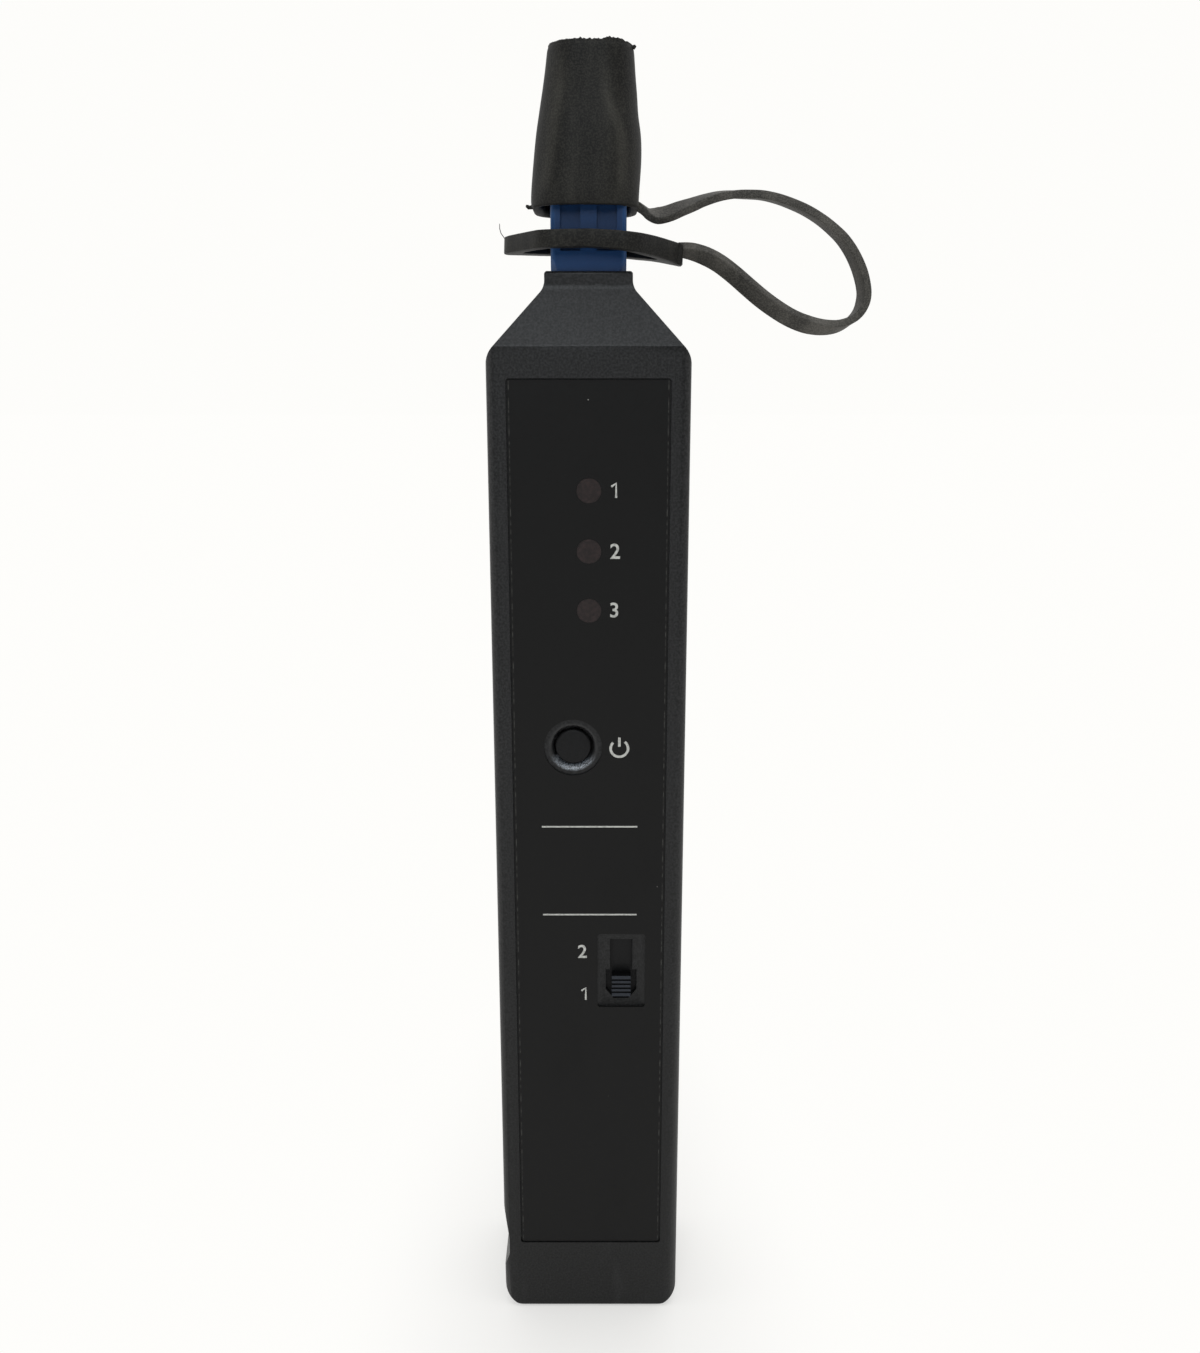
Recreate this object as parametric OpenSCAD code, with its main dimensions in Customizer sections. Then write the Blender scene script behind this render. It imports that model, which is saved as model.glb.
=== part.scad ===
// Pocket optical light source: a stick-shaped housing in two halves with a battery door, a printed
// front overlay, three indicator lenses, a push button and a slide switch, and an optical port on
// top under a rubber dust cap that a strap and ring keep with the housing.
// X runs across the front, Y from front to back, Z up from the flat base. The front looks along -Y.

/* [Housing] */
// Width of the housing across the front
case_w = 25.4; // [24.8:0.1:30]
// Depth of the housing from front to back
case_d = 20; // [19.6:0.1:24]
// Height of the housing from its base to the lip of its neck
case_h = 147.4; // [145:0.1:160]
// Thickness of the housing's walls
wall = 1.8; // [1.5:0.1:1.9]
// Rounding of the upright edges
edge_r = 1.5; // [0.6:0.1:2.5]
// Rounding of the two lower corners as seen from the front
foot_r = 3; // [2:0.1:4]
// Rounding of the base's front and back edges
sole_r = 0.7; // [0.6:0.1:1.6]
// Distance from the neck's lip down to the corner of the shoulders
shoulder_drop = 10; // [9.5:0.1:11]
// Rounding of the shoulders
shoulder_r = 3.3; // [2.2:0.1:4.5]
// Distance from the neck's lip down to the break of the front and back faces
break_drop = 9.2; // [8.8:0.1:9.8]
// Rounding of that break
break_r = 4; // [2.5:0.1:6]
// Width of the neck
neck_w = 10.84; // [10.6:0.02:11.6]
// Depth of the neck
neck_d = 14.8; // [14.4:0.1:15.6]
// Height of the neck's upright lip
neck_h = 1.9; // [1.5:0.1:2.4]
// Fillet where the shoulders run into the neck
neck_r = 2.2; // [1:0.1:3]
// Rounding of the lip's top edge
lip_r = 0.4; // [0.2:0.05:0.6]
// Height of the finger scallop's middle in the left wall
scallop_z = 11.6; // [10:0.1:13]
// Length of the finger scallop
scallop_l = 10.4; // [8:0.1:12]
// Depth of the finger scallop
scallop_depth = 0.8; // [0.5:0.05:0.9]

/* [Overlay] */
// Distance of the overlay's recess from the housing's sides
label_side = 2.5; // [2:0.1:2.9]
// Height of the recess above the base
label_z = 11.1; // [9:0.1:12]
// Distance from the recess up to the corner of the shoulders
label_margin = 2.7; // [2:0.1:6]
// Depth of the recess
label_sink = 0.45; // [0.35:0.05:0.6]
// Thickness of the overlay
label_t = 0.3; // [0.2:0.05:0.35]
// Gap round the overlay
label_gap = 0.15; // [0.05:0.05:0.3]

/* [Indicators] */
// Diameter of an indicator lens
lens_d = 3.1; // [2.4:0.1:3.6]
// Distance from the neck's lip down to the top indicator
lens_drop = 26.4; // [24.8:0.1:28.8]
// Spacing of the indicators
lens_pitch = 7.65; // [6:0.05:8]

/* [Power button] */
// Diameter of the button
button_d = 4.3; // [3.6:0.1:5]
// Distance of the button to the left of the middle
button_x = 2.15; // [1.5:0.05:3]
// Distance from the lowest indicator down to the button
button_drop = 18.4; // [16.1:0.1:21.1]
// Diameter of the dish round the button
dish_d = 6.5; // [6.2:0.1:7.2]
// Diameter of the overlay's hole round the button
button_hole_d = 7.7; // [7.4:0.1:8.4]
// Travel of the button
button_travel = 0.4; // [0.2:0.05:0.5]

/* [Mode switch] */
// Distance of the switch to the right of the middle
switch_x = 4.35; // [4:0.05:4.8]
// Height of the switch window's middle
switch_z = 54.95; // [54:0.05:56]
// Width of the switch window
window_w = 6.6; // [6.2:0.1:7.2]
// Height of the switch window
window_h = 11.1; // [10.8:0.1:11.8]
// Width of the slot's upper part
slot_w = 3.1; // [3:0.05:3.4]
// Width of the slot's lower part
slot_foot_w = 4.3; // [3.9:0.1:4.5]
// Width of the knob
knob_w = 2.62; // [2.2:0.02:2.7]
// Height of the knob
knob_h = 3.1; // [2.6:0.1:3.3]
// Travel of the knob from its lower to its upper position
switch_travel = 4.5; // [3.6:0.1:4.8]

/* [Circuit board] */
// Gap between the circuit board and the housing's sides
board_side_gap = 1.1; // [0.7:0.1:1.4]
// Height of the circuit board's top edge above the top indicator
board_over_lens = 6.1; // [4:0.1:6.5]
// Thickness of the circuit board
board_t = 1.2; // [0.8:0.1:1.6]
// Room between the front wall and the board
board_room = 3.9; // [3.8:0.05:4.1]

/* [Batteries] */
// Gap between the battery cells and the housing's sides
cell_side_gap = 0.35; // [0.3:0.05:0.7]
// Length of a battery cell with its nipple
cell_l = 44.5; // [43.5:0.1:44.5]
// Height of the battery door
door_h = 52; // [51.4:0.1:54]
// Travel of the battery door
door_travel = 8; // [5:0.1:9]

/* [Optical port] */
// Width of the port's body
port_w = 9.3; // [9.2:0.05:9.5]
// Depth of the port's body
port_d = 12.8; // [12.6:0.05:13]
// Height of the port above the housing's lip
port_rise = 18.2; // [17.5:0.1:18.6]
// Width of the plug that the port takes
plug_w = 7.4; // [7.3:0.05:7.5]
// Depth of the plug that the port takes
plug_d = 9; // [8.9:0.05:9.1]
// Depth of the plug's socket
socket_depth = 12.5; // [12:0.1:13]
// Bore of the alignment sleeve, which takes the plug's ferrule
ferrule_d = 2.5; // [2.4:0.01:2.6]

/* [Dust cap and tether] */
// Height of the dust cap's rim above the housing's lip
cap_rise = 7.5; // [7:0.1:8]
// Height of the dust cap
cap_h = 18.5; // [18:0.1:20]
// Width of the dust cap at its rim
cap_w = 13.5; // [13:0.1:14.5]
// Depth of the dust cap at its rim
cap_d = 17; // [16.6:0.1:18]
// Width of the dust cap at its top
cap_top_w = 10.5; // [10:0.1:11]
// Depth of the dust cap at its top
cap_top_d = 13.8; // [13.4:0.1:14.4]
// Thickness of the dust cap
cap_wall = 1.4; // [1.1:0.1:1.6]
// Height of the tether ring above the housing's lip
ring_rise = 2; // [1.5:0.1:2.6]
// Tilt of the tether ring down to the strap's side, in degrees
ring_tilt = 2.4; // [0:0.1:3]
// Thickness of the tether ring
ring_t = 2.25; // [1.6:0.05:2.8]
// Width of the tether ring's hole
ring_hole_w = 17; // [16:0.1:18]
// Width of the tether ring's band
ring_band = 2.75; // [2:0.05:3.2]
// Width of the tether strap
strap_w = 2.4; // [1.8:0.1:3]
// Thickness of the tether strap
strap_t = 1; // [0.8:0.05:1.4]

/* [Hidden] */
$fn = 48;

// Shared clearances: how far a cut runs past a face, faces that only touch, sliding fits, pieces
// that move past each other, and a screw in its pilot hole
overrun = 1;
touch_gap = 0.05;
fit_gap = 0.1;
slide_gap = 0.15;
run_gap = 0.3;
thread_gap = 0.02;
// Depth by which ribs and posts grow out of the wall that carries them
root = 0.4;

// Faces of the housing
front_y = -case_d / 2;
back_y = case_d / 2;
front_in_y = front_y + wall;
back_in_y = back_y - wall;
side_in_x = case_w / 2 - wall;
shoulder_z = case_h - shoulder_drop;
break_z = case_h - break_drop;
neck_z = case_h - neck_h;
side_slope = atan((case_w - neck_w) / 2 / (neck_z - shoulder_z));
face_slope = atan((case_d - neck_d) / 2 / (neck_z - break_z));
inner_r = 0.5;

// Recess of the overlay
label_w = case_w - 2 * label_side;
label_h = shoulder_z - label_margin - label_z;
label_r = 0.4;

// The collar that holds the port, the bulkhead over it and the shelf under it
collar_t = 1.6;
collar_reach = 1.1;
shelf_t = 1.2;
bulkhead_drop = 8;
bulkhead_z = case_h - bulkhead_drop;
collar_z = bulkhead_z - collar_t;

// Tongue of the front half that centres the rear half
tongue_t = 0.7;
tongue_h = 1;
tongue_rise = 1.5;
tongue_z = door_h + tongue_rise;
tongue_top_z = shoulder_z - wall;

// Battery bay
cell_gap = 0.35;
cell_space = 0.1;
cell_d = side_in_x - cell_side_gap - cell_space / 2;
cell_pitch = cell_d + cell_space;
cell_y = back_in_y - cell_gap - cell_d / 2;
cell_edge_r = 0.4;
nipple_d = 3.8;
nipple_h = 0.8;
contact_t = 0.3;
contact_w = 8;
spring_h = 2;
spring_wire = 0.4;
spring_turns = 2.5;
spring_foot_r = 3.1;
spring_top_r = 2.1;
tray_gap = 0.2;
tray_side_gap = 0.3;
tray_t = 0.9;
tray_wall = 0.8;
tray_w = 2 * (side_in_x - tray_side_gap);
tray_y = cell_y - cell_d / 2 - fit_gap;
tray_z = wall + tray_gap;
bay_z = tray_z + tray_wall;
bay_top_z = bay_z + 2 * contact_t + spring_h + cell_l;
tray_top_z = bay_top_z + tray_wall;
tray_depth = 9.2;
tray_rib_w = 1;
tray_rib_h = 1.4;
rest_t = 1.2;
rest_w = 17;
rest_shares = [0.17, 0.79];
lead_d = 1.1;
lead_bend = 2;
lead_rise = 3.4;

// Screws that close the housing, from behind
screw_inset = 2.5;
screw_x = side_in_x - screw_inset;
lower_screw_rise = 15.9;
upper_screw_drop = 6;
lower_screw_z = tray_top_z + lower_screw_rise;
upper_screw_z = shoulder_z - upper_screw_drop;
screw_d = 2;
screw_head_d = 3.8;
screw_head_h = 1.3;
screw_sink = 0.3;
screw_l = 13.5;
front_post_d = 4.4;
post_lap = 0.15;
rear_post_d = 2 * (screw_inset + post_lap);
screw_seat_y = back_y - screw_sink - screw_head_h;

// Places of the indicators and the button
lens_z = case_h - lens_drop;
button_z = lens_z - 2 * lens_pitch - button_drop;

// Board and what stands on its front face
board_w = 2 * (side_in_x - board_side_gap);
board_y = front_in_y + board_room;
board_back_y = board_y + board_t;
board_r = 0.8;
board_top_z = lens_z + board_over_lens;
board_z = tray_top_z + tray_gap;
board_h = board_top_z - board_z;
post_d = 4;
post_x = 6.4;
post_over_lens = 1.1;
post_under_lens = 23.4;
post_under_screw = 6;
board_screw_d = 1.6;
board_screw_head_d = 3;
board_screw_head_h = 1;
board_screw_l = board_t + board_room - wall;
board_posts = [[-post_x, lens_z + post_over_lens], [post_x, lens_z - post_under_lens],
    [-post_x, lower_screw_z - post_under_screw]];

// Lenses and lamps
lens_flange_reach = 0.6;
lens_flange_d = lens_d + 2 * lens_flange_reach;
lens_flange_t = 0.7;
lens_face_y = front_y + label_sink - label_t;
led_base_d = 3.6;
led_base_t = 0.8;
led_d = 2.8;
led_gap = 0.25;
led_top_y = front_in_y + lens_flange_t + led_gap;

// Power button, its flange and the tactile switch behind it
button_sink = 0.3;
button_gap = 0.28;
button_edge_r = 0.35;
button_flange_d = 6.2;
button_flange_t = 0.7;
dish_depth = 0.8;
button_face_y = front_y + button_sink;
button_flange_y = front_in_y + fit_gap;
plunger_y = button_flange_y + button_flange_t;
plunger_d = 3.4;
plunger_foot = 0.6;
tact_w = 6;
tact_h = 2.4;
tact_face_y = board_y - tact_h;

// Slide switch: the window's funnel and slot, knob, shutter, stem and housing
funnel_depth = 0.8;
funnel_w = 4.6;
funnel_h = 9.5;
slot_h = 9;
slot_drop = 0.25;
slot_z = switch_z - slot_drop;
slot_wide_h = 4.4;
slot_corner = 1.1;
slot_corner_h = 1.4;
knob_sink = 0.5;
knob_rest = 0.65;
knob_z = slot_z - slot_h / 2 + knob_h / 2 + knob_rest;
knob_ridges = 5;
ridge_depth = 0.25;
groove_share = 0.45;
shutter_lap = 0.4;
shutter_end = 0.25;
shutter_reach = knob_rest + switch_travel + shutter_end;
shutter_w = slot_foot_w + 2 * shutter_lap;
shutter_h = knob_h + 2 * shutter_reach;
shutter_t = 0.4;
shutter_y = front_in_y + slide_gap;
stem_w = 1.8;
stem_rise = 1.7;
stem_depth = 2;
base_w = 5.2;
base_end = 1.65;
base_gap = 0.2;
base_l = stem_w + switch_travel + 2 * base_end;
base_y = shutter_y + shutter_t + base_gap;
base_z = knob_z + stem_rise + switch_travel / 2;

// Battery door: its tongue under the rear half, its hooks in the front half and its finger grooves
door_gap = 0.15;
door_tongue_w = 4.2;
door_tongue_t = 1.1;
door_tongue_h = 2.5;
door_tongue_root = 1;
hook_t = 0.7;
hook_reach = 1.6;
hook_h = 4;
hook_rise = 2;
hook_pitch = 15;
hook_low_z = scallop_z + scallop_l / 2 + door_travel + hook_rise;
grip_w = 12;
grip_grooves = 5;
grip_pitch = 1.6;
grip_r = 0.5;
grip_depth = 0.3;
grip_drop = 13;
grip_z = door_h - grip_drop;

// Optical port
port_r = 0.5;
port_top_z = case_h + port_rise;
socket_gap = 0.1;
socket_z = port_top_z - socket_depth;
latch_t = 1;
latch_tube_d = 4.6;
latch_bore_d = 3.3;
latch_lip = 0.8;
latch_mouth_d = 2.8;
latch_arm_w = 2.2;
latch_arm_t = 0.8;
latch_arm_h = 7;
latch_nose = 0.5;
latch_nose_h = 1.2;
sleeve_d = 3.2;
sleeve_l = 6.8;
sleeve_slit = 0.3;
sleeve_sink = 0.9;
sleeve_z = socket_z - latch_t - sleeve_sink;
keyway_w = 2.4;
keyway_depth = 5.5;
rib_w = 2;
rib_groove_w = 2.45;
rib_groove_depth = 0.7;
rib_top = 1.5;
heel_chamfer = 0.9;
heel_h = 2.4;
heel_z = case_h + heel_h;
heel_tilt = atan(heel_chamfer / sqrt(2) / heel_h);
spigot_d = 5;
flange_t = 1.4;
flange_w = 8.4;
flange_d = 12.4;
cup_d = 7.2;
cup_h = 5.2;
can_d = 5.6;
can_flange_t = 1.2;
can_cap_d = 4.2;
can_cap_h = 2.4;
beam_d = 0.9;
stub_d = 1.25;
stub_l = 6;
flange_screw_y = 5;
flange_screw_d = 1.4;
flange_screw_head_d = 2.2;
flange_screw_head_h = 0.8;
flange_screw_l = 4.5;
cup_z = collar_z - flange_t - cup_h;
pin_d = 0.5;
pin_pitch = 1.27;
pin_bend = 1;
pin_sink = 1.5;

// Dust cap: its outline is drawn in from the rim to the top by these shares of the whole taper,
// and leans by these shares of its width, each against a share of its height
cap_z = case_h + cap_rise;
cap_r = 4.8;
cap_top_r = 3;
cap_grip = 0.08;
cap_mouth = 1.2;
cap_mouth_r = 2.4;
cap_edge_r = 0.5;
cap_rim_r = 0.25;
cap_grip_share = 0.3;
cap_corner_steps = 5;
cap_level_shares = [0.075, 0.17, 0.265, 0.36, 0.454, 0.515, 0.578, 0.64, 0.703, 0.827, 0.92];
cap_taper_shares = [[0, 0], [0.075, 0], [0.265, 0.08], [0.454, 0.2], [0.578, 0.43], [0.703, 0.63],
    [0.827, 0.82], [0.92, 0.96], [1, 1]];
cap_lean_shares = [[0, -0.04], [0.075, -0.041], [0.265, -0.017], [0.454, -0.007], [0.578, -0.006],
    [0.703, 0.003], [0.827, 0.008], [1, 0.013]];
lug_t = 1.5;
lug_w = 2.9;

// Tether: the strap's centreline from the cap's lug round to the ring's tab, as X and as Z above the
// housing's lip
strap_route = [[6.9, 7.75], [7.6, 7.4], [8.7, 7.2], [10, 7.4], [11.5, 7.9], [13, 8.4], [14.4, 8.9],
    [16.3, 9.4], [18.1, 9.6], [20, 9.6], [21.8, 9.5], [23.7, 9.1], [25.5, 8.5], [27.4, 7.7],
    [29.3, 6.6], [30.9, 5.4], [32.2, 4.2], [33.4, 2.6], [34.4, 0.7], [35, -1.1], [35.2, -2.6],
    [34.9, -4], [34.2, -5.1], [33.1, -5.9], [31.7, -6.4], [29.9, -6.5], [28, -6.3], [26.1, -5.7],
    [24.2, -4.7], [22.2, -3.4], [20.3, -1.9], [18.4, -0.3], [16.5, 1.2], [14.8, 2.2], [13.3, 2.7],
    [12.2, 2.9]];
strap_points = [for (p = strap_route) [p.x, case_h + p.y]];
strap_bevel = 0.3;
// Its turn about that line in degrees, against a share of the route
strap_turn_shares = [[0, 0], [0.08, 26], [0.17, 18], [0.26, 0], [0.4, -6], [0.54, -13], [0.6, -8], [0.66, 4],
    [0.73, 28], [0.82, 30], [0.93, 20], [1, 0]];
ring_tip_r = 2.4;
ring_z = case_h + ring_rise;

// Outlines with rounded corners: straight edges, with a circle added or taken at each corner
function unit(v) = v / norm(v);
function arms(p, i) = [unit(p[(i + len(p) - 1) % len(p)] - p[i]), unit(p[(i + 1) % len(p)] - p[i])];
function half_angle(a) = acos(a[0] * a[1]) / 2;
function is_convex(a) = a[0].x * a[1].y - a[0].y * a[1].x < 0;
function corner_centre(p, a, r) = p + unit(a[0] + a[1]) * r / sin(half_angle(a));

module rounded_outline(points, radii) {
    last = len(points) - 1;
    a = [for (i = [0:last]) arms(points, i)];
    cut = [for (i = [0:last]) radii[i] / tan(half_angle(a[i]))];
    difference() {
        union() {
            polygon([for (i = [0:last]) for (k = radii[i] > 0 ? [0, 1] : [0]) points[i] + cut[i] * a[i][k]]);
            for (i = [0:last])
                if (radii[i] > 0 && is_convex(a[i]))
                    translate(corner_centre(points[i], a[i], radii[i])) circle(radii[i]);
        }
        for (i = [0:last])
            if (radii[i] > 0 && !is_convex(a[i]))
                translate(corner_centre(points[i], a[i], radii[i])) circle(radii[i]);
    }
}

module rounded_rect(w, h, r) {
    rounded_outline([[-w / 2, -h / 2], [w / 2, -h / 2], [w / 2, h / 2], [-w / 2, h / 2]], [r, r, r, r]);
}

// A box that is centred in X and Y and stands on its height
module block(w, d, h) {
    translate([-w / 2, -d / 2, 0]) cube([w, d, h]);
}

// A round bar along Y, from y0 to y1
module bar_y(d, y0, y1) {
    translate([0, y0, 0]) rotate([-90, 0, 0]) cylinder(d = d, h = y1 - y0);
}

// A plate with its outline in X and Z, from y0 to y1
module plate_y(y0, y1) {
    translate([0, y1, 0]) rotate([90, 0, 0]) linear_extrude(y1 - y0) children();
}

// The housing as seen from the front, and from its side, drawn in by inset
module necked_outline(half_w, half_neck, bend_z, slope, inset, low_r, bend_r) {
    k = inset * tan(slope / 2);
    w = half_w - inset;
    n = half_neck - inset;
    lower = max(low_r - inset, inner_r);
    bend = max(bend_r - inset, inner_r);
    fillet = neck_r + inset;
    rounded_outline(
        [[-w, inset], [w, inset], [w, bend_z - k], [n, neck_z - k], [n, case_h], [-n, case_h],
            [-n, neck_z - k], [-w, bend_z - k]],
        [lower, lower, bend, fillet, lip_r, lip_r, fillet, bend]);
}

module case_form(inset) {
    intersection() {
        plate_y(front_y - overrun, back_y + overrun)
            necked_outline(case_w / 2, neck_w / 2, shoulder_z, side_slope, inset, foot_r, shoulder_r);
        rotate([0, 0, 90]) plate_y(-case_w / 2 - overrun, case_w / 2 + overrun)
            necked_outline(case_d / 2, neck_d / 2, break_z, face_slope, inset, sole_r, break_r);
        linear_extrude(case_h + overrun)
            rounded_rect(case_w - 2 * inset, case_d - 2 * inset, max(edge_r - inset, inner_r));
    }
}

// The inside of the housing, below the collar's bulkhead
module case_room() {
    intersection() {
        case_form(wall);
        block(case_w, case_d, bulkhead_z);
    }
}

// Parts of space: in front of the parting plane, behind it, and a range of heights
module in_front() {
    translate([-case_w, front_y - overrun, 0]) cube([2 * case_w, case_d / 2 + overrun, case_h + overrun]);
}

module behind() {
    translate([-case_w, 0, 0]) cube([2 * case_w, case_d / 2 + overrun, case_h + overrun]);
}

module heights(z0, z1) {
    translate([-case_w, -case_d, z0]) cube([2 * case_w, 2 * case_d, z1 - z0]);
}

// The hole that holds the port, and the shelf that its collar stands on
module port_hole() {
    translate([0, 0, collar_z]) linear_extrude(case_h - collar_z + overrun)
        rounded_rect(port_w + 2 * fit_gap, port_d + 2 * fit_gap, port_r);
}

module port_shelf() {
    difference() {
        intersection() {
            case_form(wall - root);
            heights(collar_z - shelf_t, collar_z);
        }
        translate([0, 0, collar_z - shelf_t - overrun]) linear_extrude(shelf_t + 2 * overrun)
            rounded_rect(flange_w + 2 * run_gap, flange_d + 2 * run_gap, port_r);
    }
}

module screw_places() {
    for (x = [-screw_x, screw_x])
        for (z = [lower_screw_z, upper_screw_z])
            translate([x, 0, z]) children();
}

// The finger scallop, cut along Y: a long gentle slope above and a sharper return below
module scallop_cut() {
    low = scallop_z - scallop_l / 2;
    high = scallop_z + scallop_l / 2;
    floor_low_share = 0.26;
    floor_high_share = 0.5;
    floor_x = scallop_depth - case_w / 2;
    floor_r = 2;
    plate_y(front_y - overrun, back_y + overrun)
        rounded_outline(
            [[-case_w / 2, low], [floor_x, low + floor_low_share * scallop_l],
                [floor_x, low + floor_high_share * scallop_l], [-case_w / 2, high],
                [-case_w / 2 - overrun, high], [-case_w / 2 - overrun, low]],
            [0, floor_r, floor_r, 0, 0, 0]);
}

// The hooks of the battery door, or the pockets in which they slide down by the door's travel
module door_hooks(extra, travel) {
    for (side = [-1, 1])
        for (i = [0, 1])
            translate([side * (side_in_x + fit_gap + hook_t / 2), 0, hook_low_z + i * hook_pitch])
                translate([-hook_t / 2 - extra, -hook_reach - extra, -travel - extra])
                    cube([hook_t + 2 * extra, hook_reach + extra + root, travel + hook_h + 2 * extra]);
}

module switch_slot() {
    low = slot_z - slot_h / 2;
    wide = slot_foot_w / 2;
    plate_y(front_y, front_in_y + overrun)
        translate([switch_x, 0])
            polygon([[slot_corner - wide, low], [wide - slot_corner, low], [wide, low + slot_corner_h],
                [wide, low + slot_wide_h], [slot_w / 2, low + slot_wide_h],
                [slot_w / 2, low + slot_h], [-slot_w / 2, low + slot_h],
                [-slot_w / 2, low + slot_wide_h], [-wide, low + slot_wide_h],
                [-wide, low + slot_corner_h]]);
}

module switch_funnel() {
    floor_y = front_y + label_sink;
    hull() {
        translate([switch_x, 0, switch_z]) plate_y(floor_y - overrun, floor_y)
            square([window_w, window_h], center = true);
        translate([switch_x, 0, slot_z]) plate_y(floor_y, floor_y + funnel_depth)
            square([funnel_w, funnel_h], center = true);
    }
}

module front_shell() {
    color([0.16, 0.17, 0.18])
        difference() {
            union() {
                difference() {
                    intersection() {
                        case_form(0);
                        in_front();
                    }
                    case_room();
                }
                // Tongue along both sides, above the battery door
                intersection() {
                    difference() {
                        case_form(wall - tongue_t);
                        case_form(wall);
                    }
                    heights(tongue_z, tongue_top_z);
                    translate([-case_w, -root, 0]) cube([2 * case_w, tongue_h + root, case_h]);
                }
                intersection() {
                    port_shelf();
                    in_front();
                }
                screw_places() bar_y(front_post_d, front_in_y - root, 0);
                for (p = board_posts)
                    translate([p.x, 0, p.y]) bar_y(post_d, front_in_y - root, board_y);
                // Ribs that the battery tray rests on
                for (share = rest_shares)
                    translate([-rest_w / 2, front_in_y - root, tray_z + share * (tray_top_z - tray_z)])
                        cube([rest_w, tray_y - tray_t - front_in_y + root, rest_t]);
            }
            port_hole();
            scallop_cut();
            door_hooks(fit_gap, door_travel);
            screw_places() bar_y(screw_d + 2 * thread_gap, front_in_y + root, overrun);
            for (p = board_posts)
                translate([p.x, 0, p.y])
                    bar_y(board_screw_d + 2 * thread_gap, front_in_y + root, board_y + overrun);
            // Recess of the overlay
            translate([0, 0, label_z + label_h / 2]) plate_y(front_y - overrun, front_y + label_sink)
                rounded_rect(label_w, label_h, label_r);
            for (i = [0:2])
                translate([0, 0, lens_z - i * lens_pitch])
                    bar_y(lens_d + 2 * thread_gap, front_y, front_in_y + overrun);
            // Dish and hole of the power button
            translate([-button_x, 0, button_z]) {
                bar_y(button_d + 2 * button_gap, front_y, front_in_y + overrun);
                translate([0, front_y + label_sink, 0]) rotate([-90, 0, 0])
                    cylinder(d1 = dish_d, d2 = button_d + 2 * button_gap, h = dish_depth);
            }
            switch_funnel();
            switch_slot();
        }
}

module rear_shell() {
    color([0.16, 0.17, 0.18])
        difference() {
            union() {
                difference() {
                    intersection() {
                        case_form(0);
                        behind();
                        heights(door_h + door_gap, case_h + overrun);
                    }
                    case_room();
                }
                intersection() {
                    port_shelf();
                    behind();
                }
                screw_places() bar_y(rear_post_d, 0, back_in_y + root);
            }
            // Rebate for the front half's tongue
            intersection() {
                case_form(wall - tongue_t - fit_gap);
                heights(door_h, tongue_top_z + fit_gap);
                translate([-case_w, -overrun, 0]) cube([2 * case_w, tongue_h + fit_gap + overrun, case_h]);
                union() {
                    for (side = [-1, 1])
                        translate([side * case_w / 2, 0, 0]) block(2 * wall, case_d, case_h);
                }
            }
            port_hole();
            screw_places() {
                bar_y(screw_d + 2 * fit_gap, -overrun, back_y);
                bar_y(screw_head_d + 2 * fit_gap, screw_seat_y, back_y + overrun);
            }
        }
}

module battery_door() {
    color([0.15, 0.16, 0.17])
        difference() {
            union() {
                difference() {
                    intersection() {
                        case_form(0);
                        behind();
                        heights(0, door_h);
                    }
                    case_room();
                }
                door_hooks(0, 0);
                // Tongue that slides under the rear half
                translate([-door_tongue_w / 2, back_in_y - fit_gap - door_tongue_t, door_h - door_tongue_root])
                    cube([door_tongue_w, door_tongue_t, door_tongue_root + door_tongue_h]);
                translate([-door_tongue_w / 2, back_in_y - root, door_h - door_tongue_root])
                    cube([door_tongue_w, 2 * root, door_tongue_root]);
            }
            scallop_cut();
            // Finger grooves
            for (i = [0:grip_grooves - 1])
                translate([-grip_w / 2, back_y + grip_r - grip_depth, grip_z + i * grip_pitch])
                    rotate([0, 90, 0]) cylinder(r = grip_r, h = grip_w);
        }
}

module front_overlay() {
    color([0.11, 0.11, 0.115])
        difference() {
            translate([0, 0, label_z + label_h / 2])
                plate_y(lens_face_y, lens_face_y + label_t)
                    rounded_rect(label_w - 2 * label_gap, label_h - 2 * label_gap, label_r);
            for (i = [0:2])
                translate([0, 0, lens_z - i * lens_pitch])
                    bar_y(lens_d + 2 * thread_gap, front_y - overrun, front_in_y);
            translate([-button_x, 0, button_z]) bar_y(button_hole_d, front_y - overrun, front_in_y);
            translate([switch_x, 0, switch_z]) plate_y(front_y - overrun, front_in_y)
                rounded_rect(window_w, window_h, label_r);
        }
}

module indicator_lens(i) {
    color([0.2, 0.06, 0.07])
        translate([0, 0, lens_z - i * lens_pitch]) {
            bar_y(lens_d, lens_face_y, front_in_y + lens_flange_t);
            bar_y(lens_flange_d, front_in_y, front_in_y + lens_flange_t);
        }
}

// A lamp with a round base, a barrel and a domed top, standing on the board and looking forward
module led(i) {
    dome_y = led_top_y + led_d / 2;
    color([0.6, 0.08, 0.08])
        translate([0, 0, lens_z - i * lens_pitch]) {
            bar_y(led_base_d, board_y - led_base_t, board_y);
            bar_y(led_d, dome_y, board_y - led_base_t / 2);
            intersection() {
                translate([0, dome_y, 0]) sphere(d = led_d);
                bar_y(led_d + overrun, led_top_y - overrun, dome_y);
            }
        }
}

module power_button() {
    rim = button_d / 2 - button_edge_r;
    color([0.1, 0.1, 0.11])
        translate([-button_x, 0, button_z]) {
            translate([0, button_face_y, 0]) rotate([-90, 0, 0]) rotate_extrude() {
                square([rim, button_flange_y + root - button_face_y]);
                translate([0, button_edge_r])
                    square([button_d / 2, button_flange_y + root - button_face_y - button_edge_r]);
                translate([rim, button_edge_r]) circle(button_edge_r);
            }
            bar_y(button_flange_d, button_flange_y, plunger_y);
        }
}

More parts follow.
